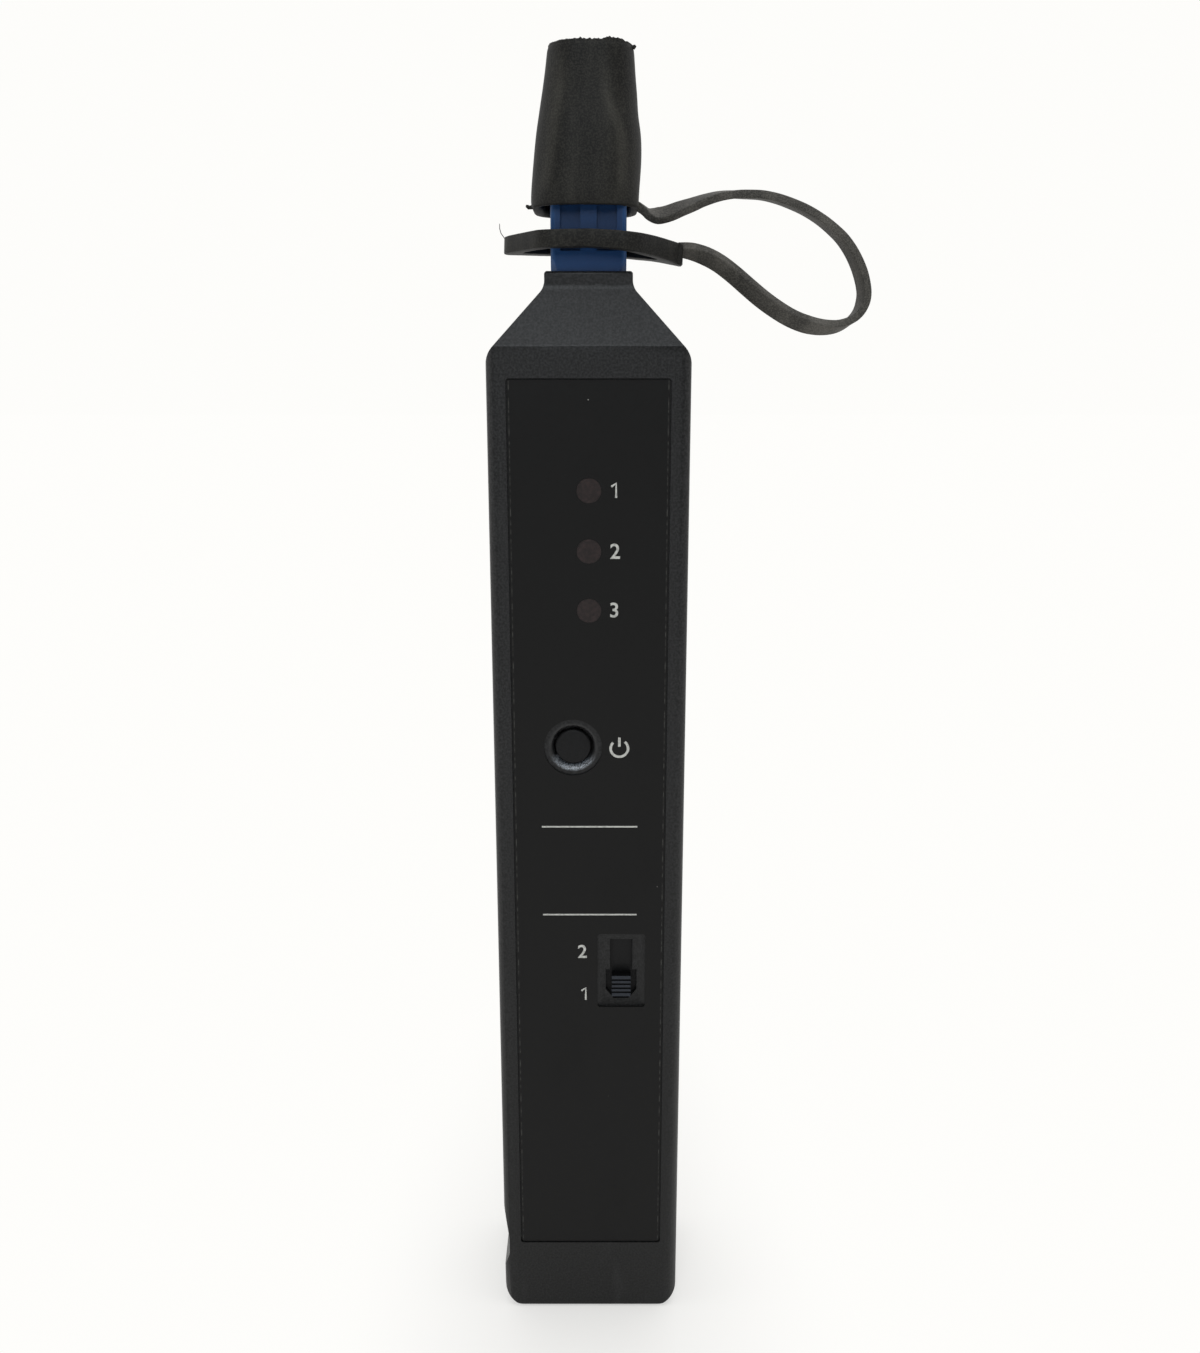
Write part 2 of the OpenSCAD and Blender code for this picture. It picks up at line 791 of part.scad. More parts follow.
module tact_plunger() {
    color([0.75, 0.72, 0.6])
        translate([-button_x, 0, button_z]) bar_y(plunger_d, plunger_y, tact_face_y + plunger_foot);
}

module tact_switch() {
    bore_end_y = tact_face_y + plunger_foot + button_travel + fit_gap;
    leg_w = 0.7;
    leg_reach = 0.8;
    leg_t = 0.3;
    leg_share = 0.36;
    color([0.7, 0.7, 0.72])
        translate([-button_x, 0, button_z]) {
            difference() {
                plate_y(tact_face_y, board_y) square(tact_w, center = true);
                bar_y(plunger_d + 2 * fit_gap, tact_face_y - overrun, bore_end_y);
            }
            for (side = [-1, 1])
                for (z = [-leg_share * tact_w, leg_share * tact_w])
                    translate([side * (tact_w / 2 + leg_reach / 2), board_y - leg_t / 2, z - leg_w / 2])
                        block(leg_reach, leg_t, leg_w);
        }
}

module mode_switch_knob() {
    face_y = front_y + knob_sink;
    ridge_pitch = knob_h / knob_ridges;
    groove_h = groove_share * ridge_pitch;
    color([0.1, 0.1, 0.11])
        translate([switch_x, 0, knob_z])
            difference() {
                union() {
                    plate_y(face_y, shutter_y + shutter_t) square([knob_w, knob_h], center = true);
                    plate_y(shutter_y, shutter_y + shutter_t)
                        square([shutter_w, shutter_h], center = true);
                    translate([0, 0, stem_rise])
                        plate_y(shutter_y, base_y + stem_depth) square(stem_w, center = true);
                }
                // Grooves between the finger ridges
                for (i = [1:knob_ridges - 1])
                    translate([0, face_y, i * ridge_pitch - knob_h / 2 - groove_h / 2])
                        block(knob_w + overrun, 2 * ridge_depth, groove_h);
            }
}

module slide_switch_base() {
    opening_l = stem_w + switch_travel + 2 * run_gap;
    color([0.72, 0.72, 0.74])
        translate([switch_x, 0, base_z]) {
            difference() {
                plate_y(base_y, board_y) square([base_w, base_l], center = true);
                plate_y(base_y - overrun, base_y + stem_depth + run_gap)
                    square([stem_w + 2 * run_gap, opening_l], center = true);
            }
        }
}

// A self-tapping screw along Y with its head behind, and a cross recess in the head
module screw_y(d, head_d, head_h, length) {
    recess_share = 0.62;
    recess_w_share = 0.16;
    recess_w = recess_w_share * head_d;
    recess_depth = head_h / 2;
    difference() {
        union() {
            bar_y(head_d, 0, head_h);
            bar_y(d, -length, 0);
        }
        for (turn = [0, 90])
            rotate([0, turn, 0]) translate([0, head_h, -recess_w / 2])
                block(recess_share * head_d, 2 * recess_depth, recess_w);
    }
}

module case_screws() {
    color([0.55, 0.55, 0.57])
        screw_places() translate([0, screw_seat_y, 0]) screw_y(screw_d, screw_head_d, screw_head_h, screw_l);
}

module board_screws() {
    color([0.55, 0.55, 0.57])
        for (p = board_posts)
            translate([p.x, board_back_y, p.y])
                screw_y(board_screw_d, board_screw_head_d, board_screw_head_h, board_screw_l);
}

module circuit_board() {
    color([0.05, 0.32, 0.16])
        difference() {
            translate([0, 0, board_z + board_h / 2]) plate_y(board_y, board_back_y)
                rounded_rect(board_w, board_h, board_r);
            screw_places() bar_y(front_post_d + 2 * run_gap, front_y, back_y);
            for (p = board_posts)
                translate([p.x, 0, p.y]) bar_y(board_screw_d + 2 * fit_gap, front_y, back_y);
        }
}

// A place on the board's rear face, by shares of the board's width and height
module on_board(place_share) {
    translate([place_share.x * board_w, board_back_y, board_z + place_share.y * board_h]) children();
}

// A flat package with so many legs along both sides
module chip(size, legs) {
    leg_reach = 0.7;
    leg_t = 0.25;
    leg_share = 0.45;
    pitch = size.z / legs;
    plate_y(0, size.y) square([size.x, size.z], center = true);
    for (side = [-1, 1])
        for (i = [0:legs - 1])
            translate([side * (size.x + leg_reach) / 2, leg_t / 2, ((2 * i + 1 - leg_share) * pitch - size.z) / 2])
                block(leg_reach, leg_t, leg_share * pitch);
}

module controller_chip() {
    place_share = [0.11, 0.54];
    side = 6;
    thick = 1.2;
    legs = 6;
    color([0.09, 0.09, 0.1]) on_board(place_share) chip([side, thick, side], legs);
}

module laser_driver_chip() {
    place_share = [-0.13, 0.75];
    size = [3.9, 1.5, 4.9];
    color([0.09, 0.09, 0.1]) on_board(place_share) chip(size, 4);
}

module power_inductor() {
    place_share = [0.16, 0.29];
    size = [4.4, 2.6, 4.4];
    color([0.2, 0.2, 0.21]) on_board(place_share) chip(size, 1);
}

module clock_crystal() {
    place_share = [-0.28, 0.53];
    size = [2.4, 1, 4.6];
    color([0.7, 0.7, 0.68]) on_board(place_share) chip(size, 1);
}

module smoothing_capacitors() {
    place_shares = [[-0.12, 0.18], [0.13, 0.18]];
    can = 4;
    can_h = 5.2;
    foot = 4.3;
    foot_t = 0.8;
    color([0.66, 0.67, 0.7])
        for (place_share = place_shares)
            on_board(place_share) {
                bar_y(can, foot_t / 2, can_h);
                plate_y(0, foot_t) square(foot, center = true);
            }
}

module output_trimmer() {
    place_share = [0.23, 0.79];
    side = 3.8;
    tall = 1.6;
    dial = 2.6;
    dial_h = 0.6;
    slot = 0.5;
    color([0.1, 0.25, 0.6])
        on_board(place_share) {
            plate_y(0, tall) square(side, center = true);
            difference() {
                bar_y(dial, tall - touch_gap, tall + dial_h);
                translate([0, tall + dial_h, -slot / 2]) block(dial + overrun, dial_h, slot);
            }
        }
}

module chip_resistors() {
    column_shares = [-0.2, 0, 0.2];
    row_shares = [0.4, 0.435];
    size = [2, 0.5, 1.2];
    color([0.12, 0.12, 0.12])
        for (column_share = column_shares)
            for (row_share = row_shares)
                on_board([column_share, row_share]) plate_y(0, size.y) square([size.x, size.z], center = true);
}

// Optical port, from the lamp in its can up to the mouth of the socket
module laser_can() {
    color([0.8, 0.7, 0.4])
        translate([0, 0, cup_z]) {
            cylinder(d = can_d, h = can_flange_t);
            cylinder(d = can_cap_d, h = can_flange_t + can_cap_h);
        }
}

// Thin wires that run straight down from z, then bend forward to the board's rear face
module bent_wire(d, top_z, y, bend, rise) {
    low_z = top_z - rise;
    translate([0, y, low_z]) cylinder(d = d, h = rise);
    translate([0, y - bend, low_z]) rotate([0, 90, 0]) rotate([0, 0, 0])
        rotate_extrude(angle = 90) translate([bend, 0]) circle(d = d);
    translate([0, 0, low_z - bend]) bar_y(d, board_back_y, y - bend);
}

module laser_leads() {
    low_z = board_top_z - pin_sink;
    color([0.85, 0.75, 0.4])
        for (x = [-pin_pitch, 0, pin_pitch])
            translate([x, 0, 0]) bent_wire(pin_d, cup_z, 0, pin_bend, cup_z - pin_bend - low_z);
}

module laser_barrel() {
    cap_room_d = can_cap_d + 2 * run_gap;
    color([0.78, 0.78, 0.8])
        difference() {
            union() {
                translate([0, 0, cup_z]) cylinder(d = cup_d, h = cup_h + flange_t);
                translate([0, 0, collar_z - flange_t]) linear_extrude(flange_t)
                    rounded_rect(flange_w, flange_d, port_r);
                translate([0, 0, collar_z]) cylinder(d = spigot_d, h = sleeve_z - collar_z);
            }
            translate([0, 0, cup_z - overrun]) cylinder(d = can_d + 2 * touch_gap, h = can_flange_t + overrun);
            translate([0, 0, cup_z]) cylinder(d = cap_room_d, h = can_flange_t + can_cap_h + run_gap);
            translate([0, 0, cup_z]) cylinder(d = beam_d, h = sleeve_z - stub_l - cup_z + touch_gap);
            translate([0, 0, sleeve_z - stub_l]) cylinder(d = stub_d + 2 * thread_gap, h = stub_l + overrun);
            for (y = [-flange_screw_y, flange_screw_y])
                translate([0, y, collar_z - flange_t - overrun])
                    cylinder(d = flange_screw_d + 2 * fit_gap, h = flange_t + 2 * overrun);
        }
}

module receptacle_screws() {
    color([0.55, 0.55, 0.57])
        for (y = [-flange_screw_y, flange_screw_y])
            translate([0, y, collar_z - flange_t]) {
                cylinder(d = flange_screw_d, h = flange_screw_l);
                translate([0, 0, -flange_screw_head_h])
                    cylinder(d = flange_screw_head_d, h = flange_screw_head_h);
            }
}

module fiber_stub() {
    color([0.95, 0.95, 0.93])
        translate([0, 0, sleeve_z - stub_l]) cylinder(d = stub_d, h = stub_l);
}

module alignment_sleeve() {
    color([0.93, 0.93, 0.9])
        translate([0, 0, sleeve_z])
            difference() {
                cylinder(d = sleeve_d, h = sleeve_l);
                translate([0, 0, -overrun]) cylinder(d = ferrule_d, h = sleeve_l + 2 * overrun);
                translate([0, -sleeve_d / 2, -overrun]) block(sleeve_slit, sleeve_d / 2, sleeve_l + 2 * overrun);
            }
}

module port_latch() {
    plate_z = socket_z - latch_t;
    tube_top_z = sleeve_z + sleeve_l + touch_gap + latch_lip;
    color([0.86, 0.86, 0.82])
        difference() {
            union() {
                translate([0, 0, plate_z]) linear_extrude(latch_t) rounded_rect(plug_w, plug_d, port_r);
                translate([0, 0, plate_z]) cylinder(d = latch_tube_d, h = tube_top_z - plate_z);
                for (side = [0, 180])
                    rotate([0, 0, side]) translate([-latch_arm_w / 2, plug_d / 2 - latch_arm_t, plate_z]) {
                        cube([latch_arm_w, latch_arm_t, latch_t + latch_arm_h]);
                        translate([0, -latch_nose, latch_t + latch_arm_h - latch_nose_h])
                            cube([latch_arm_w, latch_nose + touch_gap, latch_nose_h]);
                    }
            }
            translate([0, 0, plate_z - overrun])
                cylinder(d = latch_bore_d, h = sleeve_z + sleeve_l + touch_gap - plate_z + overrun);
            translate([0, 0, plate_z]) cylinder(d = latch_mouth_d, h = tube_top_z - plate_z + overrun);
        }
}

module port_adapter() {
    top = port_top_z - collar_z;
    color([0.08, 0.28, 0.6])
        translate([0, 0, collar_z])
            difference() {
                union() {
                    linear_extrude(top) rounded_rect(port_w, port_d, port_r);
                    linear_extrude(collar_t)
                        rounded_rect(port_w + 2 * collar_reach, port_d + 2 * collar_reach, port_r);
                }
                // Socket for the plug and the seat of the latch in its floor
                translate([0, 0, socket_z - collar_z]) linear_extrude(socket_depth + overrun)
                    rounded_rect(plug_w + 2 * socket_gap, plug_d + 2 * socket_gap, port_r);
                translate([0, 0, socket_z - latch_t - collar_z]) linear_extrude(latch_t + overrun)
                    rounded_rect(plug_w + 2 * thread_gap, plug_d + 2 * thread_gap, port_r);
                translate([0, 0, -overrun]) cylinder(d = spigot_d + 2 * touch_gap, h = top);
                // Bevels that widen down to the housing's lip, on the heel's corners
                for (turn = [0, 180])
                    rotate([0, 0, turn])
                        for (side = [-1, 1])
                            translate([side * port_w / 2, -port_d / 2, heel_z - collar_z])
                                rotate([0, 0, side * 45 - 90]) rotate([0, heel_tilt, 0])
                                    translate([0, -port_w / 2, -heel_h - overrun])
                                        cube([port_w, port_w, heel_h + overrun]);
                // Keyway in the left wall
                translate([-port_w / 2, 0, top - keyway_depth])
                    block(port_w - plug_w, keyway_w, keyway_depth + overrun);
                // Grooves on both sides of the rib, front and back
                for (face = [-1, 1])
                    for (side = [-1, 1])
                        translate([side * (rib_w + rib_groove_w) / 2, face * port_d / 2, heel_z - collar_z])
                            block(rib_groove_w, 2 * rib_groove_depth, top - rib_top - heel_z + collar_z);
                for (y = [-flange_screw_y, flange_screw_y])
                    translate([0, y, -overrun])
                        cylinder(d = flange_screw_d + 2 * thread_gap, h = flange_screw_l + overrun);
            }
}

function bevelled(x, y, c) = [[c - x, -y], [x - c, -y], [x, c - y], [x, y - c], [x - c, y], [c - x, y],
    [-x, y - c], [-x, c - y]];

// Battery tray, contacts, springs, cells and leads
module battery_tray() {
    color([0.2, 0.2, 0.21])
        difference() {
            intersection() {
                union() {
                    translate([-tray_w / 2, tray_y - tray_t, tray_z]) cube([tray_w, tray_t, tray_top_z - tray_z]);
                    for (z = [tray_z, bay_top_z])
                        translate([-tray_w / 2, tray_y - tray_t, z])
                            cube([tray_w, tray_t + tray_depth, tray_wall]);
                    translate([-tray_rib_w / 2, tray_y - touch_gap, tray_z])
                        cube([tray_rib_w, tray_rib_h, tray_top_z - tray_z]);
                }
                case_form(wall + tray_gap);
            }
            // Holes that the leads' tags pass through
            for (x = [-cell_pitch / 2, cell_pitch / 2])
                translate([x, cell_y, bay_top_z - overrun])
                    cylinder(d = lead_d + 2 * fit_gap, h = tray_wall + 2 * overrun);
        }
}

// The cells stand side by side, the left one on its spring and the right one upside down under its own
module battery_cell(side) {
    foot_z = side < 0 ? bay_z + contact_t + spring_h : bay_top_z - contact_t - spring_h;
    color([0.75, 0.5, 0.2])
        translate([side * cell_pitch / 2, cell_y, foot_z]) rotate([side < 0 ? 0 : 180, 0, 0]) rotate_extrude() {
            square([cell_d / 2 - cell_edge_r, cell_l - nipple_h]);
            translate([0, cell_edge_r]) square([cell_d / 2, cell_l - nipple_h - 2 * cell_edge_r]);
            for (z = [cell_edge_r, cell_l - nipple_h - cell_edge_r])
                translate([cell_d / 2 - cell_edge_r, z]) circle(cell_edge_r);
            square([nipple_d / 2, cell_l]);
        }
}

module battery_contacts() {
    color([0.78, 0.78, 0.76])
        translate([0, cell_y, 0]) {
            for (x = [-cell_pitch / 2, cell_pitch / 2])
                translate([x, 0, bay_top_z - contact_t]) block(contact_w, contact_w, contact_t);
            // One strip joins the two cells at the bottom
            translate([0, 0, bay_z]) block(cell_pitch + contact_w, contact_w, contact_t);
        }
}

// A coil of wire whose radius narrows from its foot to its top
function coil_point(t) = let (r = spring_foot_r + (spring_top_r - spring_foot_r) * t)
    [r * cos(360 * spring_turns * t), r * sin(360 * spring_turns * t),
        spring_wire / 2 + (spring_h - spring_wire) * t];

module coil() {
    steps = 30;
    sides = 6;
    rings = [for (i = [0:steps]) let (t = i / steps, p = coil_point(t), a = 360 * spring_turns * t)
        for (k = [0:sides - 1]) let (b = 360 * k / sides)
            p + spring_wire / 2 * [cos(a) * cos(b), sin(a) * cos(b), sin(b)]];
    polyhedron(rings, tube_faces(steps + 1, sides));
}

// Faces of a tube of so many rings: its two ends, and two triangles for each side between rings
function tube_faces(rings, sides) = concat(
    [[for (k = [sides - 1:-1:0]) k]],
    [for (i = [0:rings - 2]) for (k = [0:sides - 1]) let (n = (k + 1) % sides, a = i * sides, b = a + sides)
        each [[a + k, a + n, b + k], [a + n, b + n, b + k]]],
    [[for (k = [0:sides - 1]) (rings - 1) * sides + k]]);

module battery_springs() {
    color([0.75, 0.75, 0.74]) {
        translate([-cell_pitch / 2, cell_y, bay_z + contact_t]) coil();
        translate([cell_pitch / 2, cell_y, bay_top_z - contact_t]) rotate([180, 0, 0]) coil();
    }
}

// A lead from a contact, up and forward to the board's rear face
module battery_lead(side) {
    start_z = bay_top_z;
    top_z = start_z + tray_wall + lead_rise;
    translate([side * cell_pitch / 2, cell_y, 0]) {
        translate([0, 0, start_z]) cylinder(d = lead_d, h = top_z - start_z);
        translate([0, -lead_bend, top_z]) rotate([90, 0, 90])
            rotate_extrude(angle = 90) translate([lead_bend, 0]) circle(d = lead_d);
        translate([0, 0, top_z + lead_bend]) bar_y(lead_d, board_back_y - cell_y, -lead_bend);
    }
}

// Points round a rounded rectangle at height z, its middle shifted along X
corner_signs = [[1, 1], [-1, 1], [-1, -1], [1, -1]];
function cap_ring(z, w, d, r, shift) = [for (q = [0:3]) for (k = [0:cap_corner_steps])
    let (a = 90 * (q + k / cap_corner_steps), s = corner_signs[q])
        [shift + s.x * (w / 2 - r) + r * cos(a), -s.y * (d / 2 - r) - r * sin(a), z]];

function blend(a, b, share) = a + (b - a) * share;

// The cap's outside at a share of its height, drawn in by inset
function cap_outer_ring(t, inset) = let (taper = lookup(t, cap_taper_shares))
    cap_ring(cap_z + t * cap_h, blend(cap_w, cap_top_w, taper) - 2 * inset,
        blend(cap_d, cap_top_d, taper) - 2 * inset, blend(cap_r, cap_top_r, taper) - inset,
        cap_w * lookup(t, cap_lean_shares));

module dust_cap() {
    edge_share = cap_edge_r / cap_h;
    rim_share = cap_rim_r / cap_h;
    grip_w = port_w + 2 * cap_grip;
    grip_d = port_d + 2 * cap_grip;
    mouth_w = cap_w - 2 * cap_mouth;
    mouth_d = cap_d - 2 * cap_mouth;
    rim_shift = cap_w * cap_lean_shares[0][1];
    roof_z = cap_z + cap_h - cap_wall;
    rings = [cap_ring(roof_z, cap_top_w - 2 * cap_wall, cap_top_d - 2 * cap_wall, port_r, 0),
        cap_ring(port_top_z + touch_gap, grip_w, grip_d, port_r, 0),
        cap_ring(cap_z + cap_grip_share * cap_h, grip_w, grip_d, port_r, 0),
        cap_ring(cap_z + cap_mouth, mouth_w, mouth_d, cap_mouth_r, rim_shift),
        cap_ring(cap_z, mouth_w, mouth_d, cap_mouth_r, rim_shift),
        cap_outer_ring(0, cap_rim_r),
        cap_outer_ring(rim_share, 0),
        for (t = cap_level_shares) cap_outer_ring(t, 0),
        cap_outer_ring(1 - edge_share, 0),
        cap_outer_ring(1 - edge_share / 3, cap_edge_r / 4),
        cap_outer_ring(1, cap_edge_r)];
    lug_x = cap_w / 2 + rim_shift - cap_mouth;
    color([0.13, 0.12, 0.11]) {
        polyhedron([for (ring = rings) each ring], tube_faces(len(rings), len(rings[0])));
        // Lug that the strap grows from
        translate([lug_x, -lug_w / 2, strap_points[0].y - lug_t / 2])
            cube([strap_points[0].x - lug_x, lug_w, lug_t]);
    }
}

// The ring's hole is drawn tight round the port's body, and its sides stand off to rounded tips
module ring_outline(grow) {
    tip_x = ring_hole_w / 2 - ring_tip_r;
    corner_r = port_r + grow;
    hull() {
        if (grow == 0) square([port_w, port_d], center = true);
        for (side = [-1, 1]) {
            translate([side * tip_x, 0]) circle(ring_tip_r + grow);
            for (face = [-1, 1])
                translate([side * (port_w / 2 - port_r), face * (port_d / 2 - port_r)]) circle(corner_r);
        }
    }
}

module tether_ring() {
    tab_end = strap_points[len(strap_points) - 1];
    tab_x = ring_hole_w / 2 + ring_band / 2;
    color([0.13, 0.12, 0.11]) {
        translate([0, 0, ring_z + ring_t / 2]) rotate([0, ring_tilt, 0])
            linear_extrude(ring_t, center = true)
                difference() {
                    ring_outline(ring_band);
                    ring_outline(0);
                }
        // Tab that the strap grows from
        translate([tab_x, -lug_w / 2, tab_end.y - lug_t / 2]) cube([tab_end.x - tab_x, lug_w, lug_t]);
    }
}

// Frames along the strap: its ends stand square to the lug and the tab
function strap_tangent(i) = let (last = len(strap_points) - 1)
    i == 0 ? [1, 0] : i == last ? [-1, 0] : unit(strap_points[i + 1] - strap_points[i - 1]);

module tether_strap() {
    w = strap_w / 2;
    t = strap_t / 2;
    outline = bevelled(t, w, strap_bevel);
    sides = len(outline);
    rings = [for (i = [0:len(strap_points) - 1])
        let (p = strap_points[i], d = strap_tangent(i), a = lookup(i / (len(strap_points) - 1), strap_turn_shares))
            for (c = outline)
                let (out = c.x * cos(a) + c.y * sin(a))
                    [p.x - d.y * out, c.y * cos(a) - c.x * sin(a), p.y + d.x * out]];
    color([0.13, 0.12, 0.11]) polyhedron(rings, tube_faces(len(strap_points), sides));
}

front_shell();
rear_shell();
battery_door();
front_overlay();
indicator_lens(0);  // indicator_lens_upper
indicator_lens(1);  // indicator_lens_middle
indicator_lens(2);  // indicator_lens_lower
power_button();
mode_switch_knob();
case_screws();
circuit_board();
board_screws();
led(0);  // led_upper
led(1);  // led_middle
led(2);  // led_lower
tact_switch();
tact_plunger();
slide_switch_base();
controller_chip();
laser_driver_chip();
power_inductor();
smoothing_capacitors();
output_trimmer();
clock_crystal();
chip_resistors();
laser_can();
laser_leads();
laser_barrel();
receptacle_screws();
fiber_stub();
alignment_sleeve();
port_latch();
port_adapter();
battery_tray();
battery_contacts();
battery_springs();
battery_cell(-1);  // battery_cell_left
battery_cell(1);  // battery_cell_right
color([0.7, 0.08, 0.06]) battery_lead(-1);  // battery_lead_red
color([0.06, 0.06, 0.06]) battery_lead(1);  // battery_lead_black
dust_cap();
tether_ring();
tether_strap();
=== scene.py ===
import math

import bmesh
import bpy
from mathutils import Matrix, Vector
from mathutils.noise import noise as noise_3d


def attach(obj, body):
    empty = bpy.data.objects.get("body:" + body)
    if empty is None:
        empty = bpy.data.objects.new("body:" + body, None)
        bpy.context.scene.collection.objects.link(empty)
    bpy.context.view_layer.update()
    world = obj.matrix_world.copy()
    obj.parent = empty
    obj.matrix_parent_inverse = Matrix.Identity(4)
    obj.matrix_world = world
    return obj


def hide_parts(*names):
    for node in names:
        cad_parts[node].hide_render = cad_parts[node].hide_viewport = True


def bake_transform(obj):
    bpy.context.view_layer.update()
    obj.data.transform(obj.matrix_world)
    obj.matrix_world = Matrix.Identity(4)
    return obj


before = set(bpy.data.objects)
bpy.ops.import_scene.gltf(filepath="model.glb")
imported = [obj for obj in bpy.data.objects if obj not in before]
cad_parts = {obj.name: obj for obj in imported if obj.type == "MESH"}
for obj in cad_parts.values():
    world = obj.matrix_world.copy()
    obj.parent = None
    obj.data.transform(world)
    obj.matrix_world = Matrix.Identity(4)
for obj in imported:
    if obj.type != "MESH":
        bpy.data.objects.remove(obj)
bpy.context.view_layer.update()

MM = 0.001
# Where the camera stands, in millimetres, its lens in millimetres and its tilt down in degrees
EYE = (1.4, -166, 137.1)
LENS = 33
TILT = 14.4
# Middles of the power button and of the slide switch on X and Z, in millimetres
BUTTON = (-2.15, 87.3)
SWITCH = (4.35, 54.95)
# The overlay's edge on X, the prints' middle on Y, how tall a printed figure is, and the height of the
# neck's lip, in millimetres
OVERLAY_EDGE = 10.05
PRINT_FACE = -9.86
FIGURE_TALL = 1.95
LIP = 147.4


def mm(*lengths):
    """Millimetres as metres."""
    return tuple(length * MM for length in lengths)


# Camera and lamps


def camera():
    data = bpy.data.cameras.new("camera")
    data.lens = LENS
    data.clip_start = 0.01
    eye = bpy.data.objects.new("camera", data)
    eye.location = mm(*EYE)
    eye.rotation_euler = (math.radians(90 - TILT), 0, 0)
    bpy.context.collection.objects.link(eye)
    bpy.context.scene.camera = eye


def lamp(name, place, aim, size, watts, tone=(1, 1, 1)):
    """A soft square lamp at place that shines at aim."""
    data = bpy.data.lights.new(name, "AREA")
    data.size = size
    data.energy = watts
    data.color = tone
    light = bpy.data.objects.new(name, data)
    light.location = place
    light.rotation_euler = (Vector(aim) - Vector(place)).to_track_quat("-Z", "Y").to_euler()
    bpy.context.collection.objects.link(light)


# Materials


class Flow:
    """A value on its way through a material. Sums and products of flows add Math nodes."""

    def __init__(self, tree, socket=None):
        self.tree = tree
        self.socket = socket

    def node(self, kind, settings=None, inputs=None, out=0):
        """Adds a node with its settings first, then its sockets' values or links."""
        made = self.tree.nodes.new("ShaderNode" + kind)
        for name, setting in (settings or {}).items():
            setattr(made, name, setting)
        for name, given in (inputs or {}).items():
            if isinstance(given, Flow):
                self.tree.links.new(given.socket, made.inputs[name])
            else:
                made.inputs[name].default_value = given
        return Flow(self.tree, made.outputs[out])

    def math(self, operation, *others):
        return self.node("Math", {"operation": operation}, dict(enumerate((self, *others))))

    def __add__(self, other):
        return self.math("ADD", other)

    __radd__ = __add__

    def __sub__(self, other):
        return self.math("SUBTRACT", other)

    def __rsub__(self, other):
        return self.node("Math", {"operation": "SUBTRACT"}, {0: other, 1: self})

    def __mul__(self, other):
        return self.math("MULTIPLY", other)

    __rmul__ = __mul__


def noise(place, scale, detail=2, stretch=(1, 1, 1)):
    """Smooth noise of about 0 to 1, finer with scale, drawn out where stretch is small."""
    if stretch != (1, 1, 1):
        place = place.node("Mapping", None, {"Vector": place, "Scale": stretch})
    return place.node("TexNoise", None, {"Vector": place, "Scale": scale, "Detail": detail}, "Fac")


def step(value, low, high):
    """0 below low, 1 above high and smooth between them."""
    return value.node(
        "MapRange",
        {"interpolation_type": "SMOOTHSTEP"},
        {"Value": value, "From Min": low, "From Max": high},
    )


def tones(share, low, high):
    """A colour between low and high, as share goes from 0 to 1."""
    return share.node("Mix", {"data_type": "RGBA"}, {0: share, 6: colour(low), 7: colour(high)}, 2)


def colour(given):
    return given if isinstance(given, Flow) else (*given, 1)


def bump(height, depth_mm):
    """The normal of a surface with this height in millimetres."""
    return height.node("Bump", None, {"Height": height, "Distance": depth_mm * MM}, "Normal")


def axis(place, name):
    """One of a place's X, Y and Z."""
    return place.node("SeparateXYZ", None, {0: place}, name)


def specks(place, scale, size, share):
    """1 on small specks of dust, one in a share of the cells."""
    cell = {"Vector": place, "Scale": scale}
    near = place.node("TexVoronoi", None, cell, "Distance")
    pick_one = axis(place.node("TexVoronoi", None, cell, "Color"), "X")
    return (1 - step(near, size * 0.6, size)) * step(pick_one, 1 - share, 1 - share + 0.01)


def material(name, build, **fixed):
    """A material whose fixed numbers sit on the shader, and whose build gives what changes."""
    made = bpy.data.materials.new(name)
    made.use_nodes = True
    shader = made.node_tree.nodes["Principled BSDF"]
    for socket, number in fixed.items():
        shader.inputs[socket.replace("_", " ").title().replace("Ior", "IOR")].default_value = number
    start = Flow(made.node_tree)
    place = start.node("TexCoord", out="Object")
    for socket, flow in build(place).items():
        made.node_tree.links.new(flow.socket, shader.inputs[socket])
    return made


def moulded(name, base, roughness, grain=4500, tint=0.25, depth=0.02, **fixed):
    """Moulded plastic: a fine speckle, an eroded grain and cloudy gloss."""

    def build(place):
        speckle = noise(place, grain)
        cloud = noise(place, 70, 3)
        low = [c * (1 - tint) for c in base]
        high = [c * (1 + tint) for c in base]
        return {
            "Base Color": tones(step(0.7 * speckle + 0.3 * cloud, 0.35, 0.65), low, high),
            "Roughness": roughness + 0.2 * (cloud - 0.5),
            "Normal": bump(speckle + 0.5 * noise(place, grain * 2.3), depth),
        }

    return material(name, build, **fixed)


def metal(name, base, roughness, brush, tarnish=0.3):
    """Metal with fine drawn or brushed marks and a light tarnish."""

    def build(place):
        marks = noise(place, 5200, 3, brush)
        cloud = noise(place, 400, 3)
        dull = [c * (1 - tarnish) for c in base]
        return {
            "Base Color": tones(step(cloud, 0.4, 0.75), base, dull),
            "Roughness": roughness + 0.25 * (marks - 0.5) + 0.2 * step(cloud, 0.45, 0.8),
            "Normal": bump(marks, 0.006),
        }

    return material(name, build, metallic=1)


